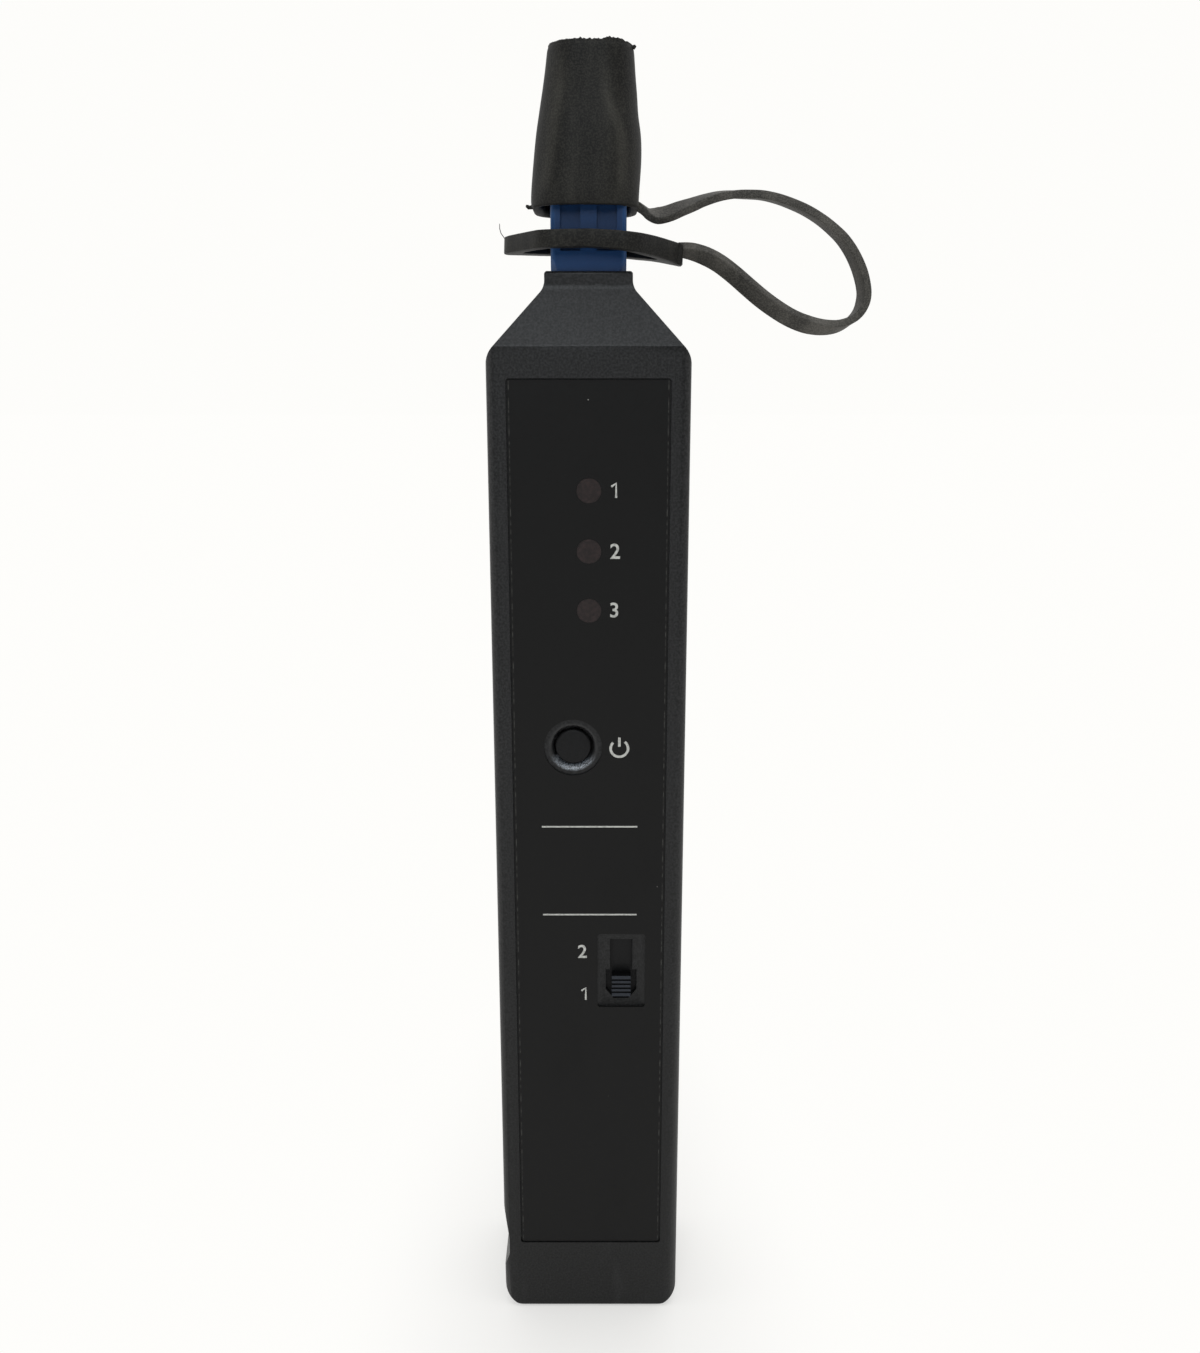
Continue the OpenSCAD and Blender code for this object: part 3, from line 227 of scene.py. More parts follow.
def case_plastic():
    """Black ABS with a pale speckle, a satin grain, a few light rubs, painted shade toward the foot and
    a glossy dish with a painted highlight on its lower side.
    """

    def build(place):
        speckle = noise(place, 3600, 3)
        cloud = noise(place, 60, 3)
        rub = step(noise(place, 260, 4, (1, 1, 0.25)), 0.62, 0.78)
        shade = tones(step(speckle, 0.3, 0.72), (0.0062, 0.0063, 0.0066), (0.0215, 0.0217, 0.0225))
        z = axis(place, "Z")
        # Painted shade: the case is a little darker toward the foot
        shade = tones(0.5 * (1 - step(z, *mm(10, 100))), shade, (0.003, 0.003, 0.0025))
        # The dish round the button, on the front alone, its lower side glossier and painted with pale
        # specks: a painted highlight
        dish = 1 - step(apart(place, *BUTTON), *mm(3.1, 3.4))
        dish = dish * step(-1 * axis(place, "Y"), *mm(6, 7))
        dish_gloss_and_highlight = dish * (1 - step(z, *mm(BUTTON[1] - 3, BUTTON[1] - 0.9)))
        shade = tones(dish_gloss_and_highlight * step(noise(place, 6200, 3), 0.38, 0.62), shade, (0.3, 0.33, 0.37))
        return {
            "Base Color": tones(0.16 * rub, shade, (0.045, 0.046, 0.047)),
            "Roughness": 0.38 + 0.16 * (cloud - 0.5) - 0.05 * rub,
            "Coat Weight": 0.25 * dish + 0.75 * dish_gloss_and_highlight,
            "Normal": bump(speckle + 0.6 * noise(place, 8600), 0.012),
        }

    return material("case_plastic", build, specular_ior_level=0.25, coat_roughness=0.34)


def apart(place, x, z):
    """How far a place is on X and Z from a point in millimetres."""
    flat = place.node("Mapping", None, {"Vector": place, "Location": mm(-x, 0, -z), "Scale": (1, 0, 1)})
    return flat.node("VectorMath", {"operation": "LENGTH"}, {0: flat}, 1)


def knob_plastic():
    """Switch plastic painted near black as painted shade in its slot, its finger ridges' crests painted
    a pale blue grey as a painted highlight.
    """

    def build(place):
        grain = noise(place, 4500)
        # Painted highlight: the ridges' crests, in front of the plate, are painted a pale blue grey
        painted_highlight = 1 - step(axis(place, "Y"), *mm(-9.46, -9.38))
        # The plate that closes the slot is dusty above the ridges
        dusty = step(axis(place, "Z"), *mm(SWITCH[1], SWITCH[1] + 0.3)) * (1 - painted_highlight)
        # The plate is painted near black as painted shade in the slot, a little paler where dusty
        plate = tones(dusty * (0.4 + 1.2 * grain), (0.0025, 0.0025, 0.0028), (0.0052, 0.0052, 0.0055))
        return {
            "Base Color": tones(painted_highlight * (0.55 + 0.7 * grain), plate, (0.024, 0.028, 0.036)),
            "Roughness": 0.5 + 0.15 * (grain - 0.5),
            "Normal": bump(grain, 0.012),
        }

    return material("knob_plastic", build, specular_ior_level=0.2)


def overlay_film():
    """Satin black printed film: fine dust, faint finger smears and a thin painted highlight along its
    edge in places.
    """

    def build(place):
        dust = specks(place, 330, 0.035, 0.1) + 0.7 * specks(place, 760, 0.05, 0.035)
        smear = step(noise(place, 120, 4, (1, 1, 0.4)), 0.5, 0.8)
        weave = noise(place, 7000)
        # Painted highlight: a thin pale line just inside the film's left and right edges, broken in
        # places
        rim = OVERLAY_EDGE * MM - axis(place, "X").math("ABSOLUTE")
        edge_highlight = step(rim, *mm(0.1, 0.18)) * (1 - step(rim, *mm(0.2, 0.3)))
        edge_highlight = edge_highlight * step(noise(place, 900, 2, (0, 0, 1)), 0.42, 0.62)
        film = tones(weave, (0.0036, 0.0035, 0.0035), (0.0064, 0.0063, 0.0063))
        film = tones(edge_highlight, film, (0.05, 0.05, 0.046))
        return {
            "Base Color": tones(dust, film, (0.3, 0.29, 0.27)),
            "Roughness": 0.4 + 0.12 * smear + 0.08 * (weave - 0.5) + 0.3 * dust,
            "Normal": bump(weave + 0.5 * smear, 0.006),
        }

    return material("overlay_film", build, specular_ior_level=0.17)


def print_ink():
    """Pale grey screen print with tiny pinholes."""

    def build(place):
        patch = noise(place, 2600, 3)
        return {
            "Base Color": tones(step(patch, 0.25, 0.6), (0.33, 0.33, 0.31), (0.5, 0.5, 0.47)),
            "Roughness": 0.5 + 0.2 * patch,
            "Normal": bump(patch, 0.01),
        }

    return material("print_ink", build, specular_ior_level=0.3)


def cap_rubber(name, dark, pale):
    """Black rubber: pale bloomed streaks that run upright, painted highlights along the cap's two folds,
    dust and a fine skin.
    """

    def build(place):
        x, y, z = axis(place, "X"), axis(place, "Y"), axis(place, "Z")
        streak = noise(place, 330, 3, (1, 1, 0.12))
        cloud = noise(place, 130, 3)
        skin = noise(place, 5200, 3)
        bloom_and_fold_highlight = 0.5 * step(0.6 * streak + 0.4 * cloud, 0.42, 0.68)
        dust = specks(place, 700, 0.07, 0.09)
        # Painted highlights along two folds that run up its front, the right one bent halfway
        on_front = step(-1 * y, *mm(4, 6.5)) * step(z, *mm(155.6, 158)) * (1 - step(z, *mm(167, 172.5)))
        left_fold = x + 3.3 * MM + 0.17 * (168.6 * MM - z)
        right_fold = x - 2 * MM - 2.1 * MM * (1 - step(z, *mm(161.5, 168.5)))
        for fold, width in ((left_fold, 1.2), (right_fold, 1.1)):
            fold_highlight = 1 - step(fold.math("ABSOLUTE"), *mm(0.1 * width, width))
            bloom_and_fold_highlight = bloom_and_fold_highlight + 0.6 * fold_highlight * on_front * (0.35 + streak)
        return {
            "Base Color": tones(0.75 * bloom_and_fold_highlight + 0.38 * step(skin, 0.4, 0.64) + 0.9 * dust, dark, pale),
            "Roughness": 0.52 + 0.1 * cloud,
            "Normal": bump(skin + 0.7 * streak, 0.03),
        }

    return material(name, build, specular_ior_level=0.19)


def port_blue():
    """Glossy blue plastic with soft flow marks and a painted highlight on its corners."""

    def build(place):
        flow = noise(place, 210, 3, (1, 1, 0.3))
        grain = noise(place, 4200)
        # Painted highlight: paler strips on the port's rounded corners
        painted_highlight = step(axis(place, "X").math("ABSOLUTE"), *mm(3.9, 4.4))
        blue = tones(flow, (0.003, 0.026, 0.095), (0.005, 0.042, 0.138))
        return {
            "Base Color": tones(painted_highlight * (0.5 + 0.5 * grain), blue, (0.022, 0.075, 0.2)),
            "Roughness": 0.33 + 0.14 * (flow - 0.5) + 0.06 * grain,
            "Normal": bump(grain + 2 * flow, 0.01),
        }

    return material("port_blue", build, specular_ior_level=0.22)


def board_green():
    """Circuit board: green mask over copper tracks, with gold pads and pale vias."""

    def build(place):
        x, z = axis(place, "X"), axis(place, "Z")
        lane = (x * 900).math("FRACT")
        row = (z * 700).math("FRACT")
        cut = noise(place, 420, 0, (1, 0, 0.35))
        track = step(lane, 0.5, 0.56) * (1 - step(lane, 0.9, 0.96)) * step(cut, 0.48, 0.5)
        cross = step(row, 0.6, 0.66) * (1 - step(row, 0.9, 0.96)) * (1 - step(cut, 0.4, 0.42))
        copper = track.math("MAXIMUM", cross)
        via = specks(place, 620, 0.14, 0.2)
        mask = tones(copper, (0.006, 0.062, 0.028), (0.02, 0.17, 0.07))
        return {
            "Base Color": tones(via, mask, (0.62, 0.45, 0.17)),
            "Roughness": 0.3 + 0.15 * noise(place, 300),
            "Metallic": via,
            "Normal": bump(copper, 0.03),
        }

    return material("board_green", build)


def cell_wrap():
    """Shrink wrap round a cell: a coppery band over a black body, with bare metal ends."""

    def build(place):
        z = axis(place, "Z")
        band = step(z, *mm(35.2, 35.4))
        bare = step(z, *mm(47.4, 47.5)) + (1 - step(z, *mm(5.4, 5.5)))
        crinkle = noise(place, 900, 3, (1, 1, 0.3))
        wrap = tones(band, (0.018, 0.018, 0.02), (0.5, 0.23, 0.07))
        return {
            "Base Color": tones(bare, wrap, (0.55, 0.54, 0.52)),
            "Metallic": (0.6 * band).math("MAXIMUM", bare),
            "Roughness": 0.28 + 0.18 * crinkle,
            "Normal": bump(crinkle, 0.04),
        }

    return material("cell_wrap", build)


def finishes():
    """The material of each slot."""
    fine = (1, 1, 0.1)
    return {
        "case_plastic": case_plastic(),
        "overlay_film": overlay_film(),
        "indicator_red": moulded(
            "indicator_red", (0.016, 0.0092, 0.0090), 0.42, 2500, 0.4, 0.006, specular_ior_level=0.3
        ),
        "print_ink": print_ink(),
        "knob_plastic": knob_plastic(),
        "control_plastic": moulded(
            "control_plastic", (0.0048, 0.0048, 0.0052), 0.5, specular_ior_level=0.2
        ),
        "screw_steel": metal("screw_steel", (0.46, 0.46, 0.47), 0.36, (1, 0.1, 1)),
        "board_green": board_green(),
        "lamp_red": moulded("lamp_red", (0.3, 0.012, 0.012), 0.16, 1200, 0.2, 0.003, coat_weight=0.6),
        "switch_metal": metal("switch_metal", (0.62, 0.62, 0.63), 0.34, fine),
        "plunger_plastic": moulded("plunger_plastic", (0.5, 0.44, 0.3), 0.45),
        "chip_black": moulded("chip_black", (0.014, 0.014, 0.015), 0.6, 6500, 0.35, 0.03),
        "capacitor_metal": metal("capacitor_metal", (0.68, 0.69, 0.71), 0.28, (1, 0.08, 1)),
        "trimmer_blue": moulded("trimmer_blue", (0.02, 0.09, 0.42), 0.4),
        "laser_gold": metal("laser_gold", (0.83, 0.6, 0.26), 0.2, fine, 0.15),
        "barrel_steel": metal("barrel_steel", (0.6, 0.6, 0.61), 0.24, (0.15, 0.15, 1), 0.15),
        "ceramic_white": moulded(
            "ceramic_white", (0.84, 0.83, 0.77), 0.22, 2500, 0.04, 0.003, coat_weight=0.3
        ),
        "latch_white": moulded("latch_white", (0.74, 0.72, 0.64), 0.42, tint=0.06),
        "port_blue": port_blue(),
        "tray_plastic": moulded("tray_plastic", (0.022, 0.022, 0.023), 0.55),
        "contact_nickel": metal("contact_nickel", (0.66, 0.64, 0.6), 0.26, fine),
        "cell_wrap": cell_wrap(),
        "lead_red": moulded("lead_red", (0.42, 0.02, 0.015), 0.45, 3000, 0.1),
        "lead_black": moulded("lead_black", (0.014, 0.014, 0.014), 0.45, 3000, 0.2),
        "cap_rubber": cap_rubber("cap_rubber", (0.0035, 0.0034, 0.003), (0.036, 0.0345, 0.029)),
        # The strap is the same rubber as the cap, painted much paler as painted light
        "strap_rubber": cap_rubber("strap_rubber", (0.036, 0.0345, 0.031), (0.138, 0.129, 0.114)),
    }


def finished_nodes():
    """Gives every node of the solid model the finish that its slot is named after."""
    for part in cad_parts.values():
        for slot in part.material_slots:
            known = [key for key in finish if slot.material and slot.material.name.startswith(key)]
            if known:
                slot.material = finish[max(known, key=len)]
    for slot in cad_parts["mode_switch_knob"].material_slots:
        slot.material = finish["knob_plastic"]


# Modelling by hand


def named(name):
    """Names the object just added and moves its place and size into its mesh."""
    piece = bpy.context.object
    piece.name = piece.data.name = name
    bpy.ops.object.transform_apply(location=True, rotation=True, scale=True)
    return piece


def box(name, low, high):
    """A box between two corners, in millimetres."""
    bpy.ops.object.select_all(action="DESELECT")
    low, high = Vector(mm(*low)), Vector(mm(*high))
    bpy.ops.mesh.primitive_cube_add(size=1, location=(low + high) / 2, scale=high - low)
    return named(name)


def disc(name, place, radius, depth, sides):
    """A round bar along Y round a place, from there back by depth, in millimetres."""
    bpy.ops.object.select_all(action="DESELECT")
    x, y, z = place
    bpy.ops.mesh.primitive_cylinder_add(
        vertices=sides,
        radius=radius * MM,
        depth=depth * MM,
        location=mm(x, y + depth / 2, z),
        rotation=(math.pi / 2, 0, 0),
    )
    return named(name)


def copied(name, node):
    """A copy of a CAD node with its loose triangles joined and its flat faces made whole."""
    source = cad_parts[node]
    piece = bpy.data.objects.new(name, source.data.copy())
    piece.data.name = name
    bpy.context.collection.objects.link(piece)
    opened(piece)
    bpy.ops.mesh.select_all(action="SELECT")
    bpy.ops.mesh.remove_doubles(threshold=2e-6)
    bpy.ops.mesh.dissolve_limited(angle_limit=math.radians(0.6))
    closed()
    return piece


def opened(piece):
    """Opens a piece for editing with nothing selected."""
    bpy.ops.object.select_all(action="DESELECT")
    piece.select_set(True)
    bpy.context.view_layer.objects.active = piece
    bpy.ops.object.mode_set(mode="EDIT")
    bpy.ops.mesh.select_all(action="DESELECT")


def closed(smooth=None):
    """Closes the piece, shaded smooth where its faces meet under an angle."""
    bpy.ops.object.mode_set(mode="OBJECT")
    if smooth:
        bpy.ops.object.shade_smooth_by_angle(angle=math.radians(smooth))


def pick(kind, test):
    """Selects the faces, edges or vertices of the open piece that pass a test of their middle."""
    bpy.ops.mesh.select_mode(type=kind)
    bpy.ops.mesh.select_all(action="DESELECT")
    mesh = bmesh.from_edit_mesh(bpy.context.object.data)
    for item in {"VERT": mesh.verts, "EDGE": mesh.edges, "FACE": mesh.faces}[kind]:
        corners = [item.co] if kind == "VERT" else [v.co for v in item.verts]
        middle = sum(corners, Vector()) / len(corners) / MM
        item.select_set(bool(test(middle, item)))
    mesh.select_flush_mode()
    bmesh.update_edit_mesh(bpy.context.object.data)


def upright(edge):
    """Whether an edge runs up more than across."""
    run = edge.verts[1].co - edge.verts[0].co
    return abs(run.z) > run.xy.length


def rounded_off(piece, width):
    """Rounds every sharp edge of a piece by a small width in millimetres."""
    bpy.ops.object.select_all(action="DESELECT")
    piece.select_set(True)
    bpy.context.view_layer.objects.active = piece
    bevel = piece.modifiers.new("rounding", "BEVEL")
    bevel.width = width * MM
    bevel.segments = 2
    bevel.limit_method = "ANGLE"
    bevel.angle_limit = math.radians(38)
    bevel.use_clamp_overlap = False
    bpy.ops.object.modifier_apply(modifier=bevel.name)
    bpy.ops.object.shade_smooth_by_angle(angle=math.radians(40))


def settled(piece, body, slot, *nodes):
    """Gives a finished piece its material, hangs it on the body that it rides on and hides the nodes
    that it stands for.
    """
    piece.data.materials.clear()
    piece.data.materials.append(finish[slot])
    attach(piece, body)
    if nodes:
        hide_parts(*nodes)


# Dust cap, ring and strap

# The cap's outside: height, its left and right edge on X and half its depth, in millimetres
CAP_LEVELS = [(154.9, -6.95, 6.05, 8.3), (155.15, -7.1, 6.18, 8.46), (156.3, -7.12, 6.2, 8.5),
    (158, -6.98, 6.32, 8.48), (159.8, -6.8, 6.46, 8.42), (161.6, -6.62, 6.5, 8.32),
    (163.3, -6.42, 6.42, 8.15), (164.5, -6.24, 6.24, 7.98), (165.6, -6.05, 6.06, 7.78),
    (166.8, -5.86, 5.98, 7.6), (167.9, -5.67, 5.92, 7.42), (169.1, -5.48, 5.8, 7.28),
    (170.2, -5.31, 5.7, 7.15), (171.4, -5.15, 5.62, 7.02), (172.5, -5.03, 5.54, 6.93),
    (173.05, -4.93, 5.46, 6.86), (173.22, -4.72, 5.26, 6.68)]
# Half the width and depth of the block that the cap is drawn in from, and the hollow's steps up from
# its mouth: the rise in millimetres and the share of the last width and depth
CAP_BLOCK = (6.75, 8.5)
CAP_HOLLOW = [(1.3, 0.98, 0.98), (0.9, 0.92, 0.95), (8.3, 0.99, 0.99), (0.6, 0.86, 0.88),
    (5.6, 0.94, 0.94)]
# How high the flash stands on the cap's top edge along X, in millimetres
CAP_FLASH = [(-5, 0.16), (-1.2, 0.2), (-0.9, 0.36), (-0.6, 0.2), (1.6, 0.2), (2.1, 0.34), (2.5, 0.42),
    (3.1, 0.3), (3.6, 0.4), (4.3, 0.22), (5.4, 0.14)]


def cut(direction, *places):
    """Cuts the open piece all through at places along X, Y or Z, in millimetres."""
    for place in places:
        bpy.ops.mesh.select_all(action="SELECT")
        bpy.ops.mesh.bisect(
            plane_co=[axis_share * place * MM for axis_share in direction], plane_no=direction
        )


def dust_cap():
    """The rubber cap: a rounded box drawn in level by level, hollow, with the mould's ragged flash."""
    half_w, half_d = CAP_BLOCK
    mouth, top = CAP_LEVELS[0][0], CAP_LEVELS[-1][0]
    piece = box("dust_cap_rubber", (-half_w, -half_d, mouth), (half_w, half_d, top))
    opened(piece)
    cut((1, 0, 0), -1, 1)
    cut((0, 1, 0), -2.4, 0, 2.4)
    pick("EDGE", lambda m, e: upright(e) and abs(m.x) > 6 and abs(m.y) > 8)
    bpy.ops.mesh.bevel(offset=4.7 * MM, segments=6, affect="EDGES")
    cut((0, 0, 1), *[level[0] for level in CAP_LEVELS[1:-1]])
    for z, left, right, deep in CAP_LEVELS:
        pick("VERT", lambda m, v, z=z: abs(m.z - z) < 0.02)
        drawn_in = ((right - left) / 2 / half_w, deep / half_d, 1)
        bpy.ops.transform.resize(value=drawn_in, center_override=mm(0, 0, z))
        bpy.ops.transform.translate(value=mm((left + right) / 2, 0, 0))
    # Its hollow, from the mouth up over the port to the roof
    pick("FACE", lambda m, f: f.normal.z < -0.9)
    bpy.ops.mesh.inset(thickness=1.1 * MM)
    for rise, wide, deep in CAP_HOLLOW:
        bpy.ops.mesh.extrude_region_move(TRANSFORM_OT_translate={"value": mm(0, 0, rise)})
        bpy.ops.transform.resize(value=(wide, deep, 1), center_override=mm(-0.1, 0, 160))
    closed()
    smoothed(piece)
    # The flash stands up from the top edge, most on the right
    opened(piece)
    pick("FACE", lambda m, f: f.normal.z > 0.9 and m.z > 173)
    bpy.ops.mesh.inset(thickness=0.16 * MM)
    bpy.ops.mesh.hide(unselected=False)
    pick("FACE", lambda m, f: not f.hide and f.normal.z > 0.6 and m.z > 173)
    bpy.ops.mesh.extrude_region_move(TRANSFORM_OT_translate={"value": mm(0, 0, 0.05)})
    bpy.ops.mesh.subdivide(number_cuts=2)
    mesh = bmesh.from_edit_mesh(piece.data)
    for vert in mesh.verts:
        if vert.select:
            ragged = 0.12 * noise_3d(vert.co / MM * 3.1) + 0.08 * noise_3d(vert.co / MM * 8)
            vert.co.z += max(0, read_off(CAP_FLASH, vert.co.x / MM) + ragged) * MM
    bmesh.update_edit_mesh(piece.data)
    bpy.ops.mesh.reveal(select=False)
    closed(42)
    settled(piece, "dust_cap", "cap_rubber", "dust_cap")


def smoothed(piece):
    """Subdivides a finished cage into a smooth surface."""
    surface = piece.modifiers.new("surface", "SUBSURF")
    surface.levels = surface.render_levels = 2
    bpy.ops.object.select_all(action="DESELECT")
    piece.select_set(True)
    bpy.context.view_layer.objects.active = piece
    bpy.ops.object.modifier_apply(modifier=surface.name)


# The ring in the solid model: its middle's height over the lip, its thickness, and its tilt in degrees
RING_FLAT = (3.125, 2.25, 2.4)
# Its front on Y in millimetres, and how much it rises from there to the back
RING_FRONT, RING_RISE = -9.15, 0.018
# The ring as pulled, along X: its middle's height over the lip, its thickness, and its shift along X,
# in millimetres
RING_HEIGHT = [(-11, 3.28), (-8.8, 3.44), (-6.2, 3.59), (0, 3.7), (3, 3.52), (5.5, 3.27), (7.8, 3.0),
    (9, 2.78), (10, 2.55), (11.8, 2.14)]
RING_BAND = [(-11, 2.04), (0, 2.06), (5.5, 2.2), (9, 2.4), (11.8, 2.63)]
RING_PULL = [(-11.3, 0.5), (-6, 0), (6, 0), (11.4, 0.4)]


def tether_ring():
    """The ring round the port: bowed by the strap's pull, with a square end where the strap grows."""
    piece = copied("tether_ring_band", "tether_ring")
    opened(piece)
    bpy.ops.mesh.select_all(action="SELECT")
    bpy.ops.mesh.bisect(plane_co=mm(11, 0, 0), plane_no=(1, 0, 0), use_fill=True, clear_outer=True)
    pick("FACE", lambda m, f: f.normal.x > 0.9 and m.x > 10.9)
    bpy.ops.mesh.extrude_region_move(TRANSFORM_OT_translate={"value": mm(0.4, 0, 0)})
    cut((1, 0, 0), *range(-10, 11))
    middle, thick, tilt = RING_FLAT
    mesh = bmesh.from_edit_mesh(piece.data)
    for vert in mesh.verts:
        x, y, z = vert.co / MM
        off_middle = (z - LIP - middle + math.tan(math.radians(tilt)) * x) / thick
        x += read_off(RING_PULL, x)
        z = LIP + read_off(RING_HEIGHT, x) + off_middle * read_off(RING_BAND, x)
        z += RING_RISE * (y - RING_FRONT)
        vert.co = mm(x, y, z)
    bmesh.update_edit_mesh(piece.data)
    closed()
    rounded_off(piece, 0.16)
    settled(piece, "housing", "cap_rubber", "tether_ring")


def read_off(table, at):
    """The value of a table of pairs at a place between them."""
    for (low, start), (high, end) in zip(table, table[1:]):
        if at <= high:
            t = max(0, (at - low) / (high - low))
            return start + (end - start) * t
    return table[-1][1]


# The strap's middle line from the cap round to the ring, as X and as Z above the neck's lip, in
# millimetres
STRAP = [(6.0, 8.3), (6.8, 7.8), (7.6, 7.3), (8.7, 7.1), (10, 7.35), (11.5, 7.9), (13, 8.4),
    (14.4, 8.9), (16.3, 9.4), (18.1, 9.6), (20, 9.6), (21.8, 9.5), (23.7, 9.1), (25.5, 8.5),
    (27.4, 7.7), (29.3, 6.6), (30.9, 5.4), (32.2, 4.2), (33.4, 2.6), (34.4, 0.7), (35, -1.1),
    (35.2, -2.6), (34.9, -4), (34.2, -5.1), (33.1, -5.9), (31.7, -6.4), (29.9, -6.45), (28, -6.1),
    (26.1, -5.4), (24.2, -4.35), (22.2, -3), (20.3, -1.5), (18.4, 0.05), (16.5, 1.4), (14.8, 2.25),
    (13.3, 2.75), (12.2, 2.95), (11.3, 3.1)]
# Its turn about that line in degrees, against a share of its run
STRAP_TURN = [(0, 6), (0.04, 10), (0.08, 40), (0.12, 38), (0.18, 22), (0.26, 3), (0.4, -6), (0.52, -18),
    (0.58, -16), (0.63, 0), (0.68, 22), (0.73, 44), (0.82, 48), (0.92, 42), (0.97, 27), (1, 14)]


def smooth_line(points, steps):
    """More points on a smooth line through the given ones."""
    ends = [points[0] * 2 - points[1], *points, points[-1] * 2 - points[-2]]
    line = []
    for a, b, c, d in zip(ends, ends[1:], ends[2:], ends[3:]):
        for k in range(steps):
            t = k / steps
            bend = (2 * a - 5 * b + 4 * c - d) * t * t + (3 * b - a - 3 * c + d) * t**3
            line.append(0.5 * (2 * b + (c - a) * t + bend))
    return line + [points[-1]]


def tether_strap():
    """The flat moulded strap: eased edges, a twist along its run and a broad root on the cap."""
    line = smooth_line([Vector(mm(x, 0, LIP + z)) for x, z in STRAP], 4)
    last = len(line) - 1
    half_w, half_t, corner = 1.2, 0.5, 0.15
    root_run, root_extra = 7, 0.2
    outline = []
    for sx, sy, turn in ((1, 1, 0), (-1, 1, 90), (-1, -1, 180), (1, -1, 270)):
        for k in range(4):
            a = math.radians(turn + 30 * k)
            middle = Vector((sx * (half_t - corner), sy * (half_w - corner)))
            outline.append(middle + corner * Vector((math.cos(a), math.sin(a))))
    mesh = bmesh.new()
    rings = []
    for i, point in enumerate(line):
        ahead = line[min(i + 1, last)] - line[max(i - 1, 0)]
        ahead.normalize()
        if i in (0, last):
            ahead = Vector((1 if i == 0 else -1, 0, 0))
        side = Vector((-ahead.z, 0, ahead.x))
        root = 1 + root_extra * max(0, 1 - i / root_run) ** 2
        twist = math.radians(read_off(STRAP_TURN, i / last))
        ring = []
        for x, y in outline:
            out = (x * math.cos(twist) + y * math.sin(twist)) * root * MM
            across = (y * math.cos(twist) - x * math.sin(twist)) * root * MM
            ring.append(mesh.verts.new(point + side * out + Vector((0, across, 0))))
        rings.append(ring)
    for low, high in zip(rings, rings[1:]):
        for k in range(len(outline)):
            n = (k + 1) % len(outline)
            mesh.faces.new((low[k], low[n], high[n], high[k]))
    mesh.faces.new(rings[0][::-1])
    mesh.faces.new(rings[-1])
    bmesh.ops.recalc_face_normals(mesh, faces=mesh.faces)
    data = bpy.data.meshes.new("tether_strap_band")
    mesh.to_mesh(data)
    mesh.free()
    piece = bpy.data.objects.new("tether_strap_band", data)
    bpy.context.collection.objects.link(piece)
    opened(piece)
    closed(40)
    piece.data.materials.append(finish["strap_rubber"])
    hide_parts("tether_strap")
    sum((b - a).length for a, b in zip(line, line[1:]))
    mm(2.4)[0]
    mm(12, 0, 150.6)
    mm(7, 0, 156.1)
    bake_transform(piece)


def flash_threads():
    """Threads of mould flash: one up from the ring's left end, and nibs at two corners of the cap."""
    thread = [(-10.5, 151.5), (-10.8, 151.95), (-11.1, 152.35), (-11.25, 152.9), (-11.26, 153.5)]
    rim_nib = [(-6.6, 155.45), (-7.2, 155.32), (-7.5, 155.3), (-7.66, 155.46), (-7.66, 155.6)]
    top_nib = [(4.6, 172.8), (5.1, 172.98), (5.5, 173.05), (5.62, 172.92)]
    for name, points, wide, y, body in (
        ("ring_flash_thread", thread, 0.1, -0.4, "housing"),
        ("cap_flash_rim", rim_nib, 0.5, -1.5, "dust_cap"),
        ("cap_flash_top", top_nib, 0.55, -4, "dust_cap"),
    ):
        piece = drawn(name, [points], wide, y)
        opened(piece)
        x, z = points[-1]
        pick("VERT", lambda m, v, x=x, z=z: (m - Vector((x, m.y, z))).length < 0.3)
        bpy.ops.transform.resize(value=(0.7, 0.7, 1), center_override=mm(x, y, z))
        closed(60)
        settled(piece, body, "cap_rubber")


# Moulded plastic pieces

# The foot's corners are drawn in up to a height, by the most at the floor and in full from a place on
# X outwards, in millimetres
FOOT_UP, FOOT_IN, FOOT_FROM = 3.5, 0.8, 8
# Edges sharper than this, in degrees, are eased
SHARP = 30


def moulding(node, body, slot, width, outer, foot=False):
    """A CAD piece again, its sharp outer edges eased as by a mould and its flat faces kept flat."""
    piece = copied(node + "_moulding", node)
    if foot:
        for vert in piece.data.vertices:
            low = max(0, FOOT_UP - vert.co.z / MM) / FOOT_UP
            drawn_in = low * low * FOOT_IN * min(1, abs(vert.co.x / MM) / FOOT_FROM)
            vert.co.x -= math.copysign(drawn_in * MM, vert.co.x)
    opened(piece)
    sharp = math.radians(SHARP)
    pick("EDGE", lambda m, e: e.is_manifold and e.calc_face_angle_signed(0) > sharp and outer(m))
    bpy.ops.mesh.bevel(offset=width * MM, segments=2, affect="EDGES", clamp_overlap=True)
    closed(40)
    shading = piece.modifiers.new("shading", "WEIGHTED_NORMAL")
    shading.weight = 100
    shading.keep_sharp = True
    bpy.ops.object.modifier_apply(modifier=shading.name)
    settled(piece, body, slot, node)


def on_case(m):
    """Whether a place is on the housing's sides, faces, shoulders or foot, and off the switch's slot."""
    by_slot = abs(m.x - SWITCH[0]) < 3.2 and abs(m.z - SWITCH[1]) < 9 and m.y < 0
    return (abs(m.x) > 12 or abs(m.y) > 9.6 or m.z > 134 or m.z < 0.6) and not by_slot


def on_port(m):
    """Whether a place is on the port's outside."""
    return abs(m.x) > 5 or abs(m.y) > 6 or m.z > 165


# Button and prints on the overlay


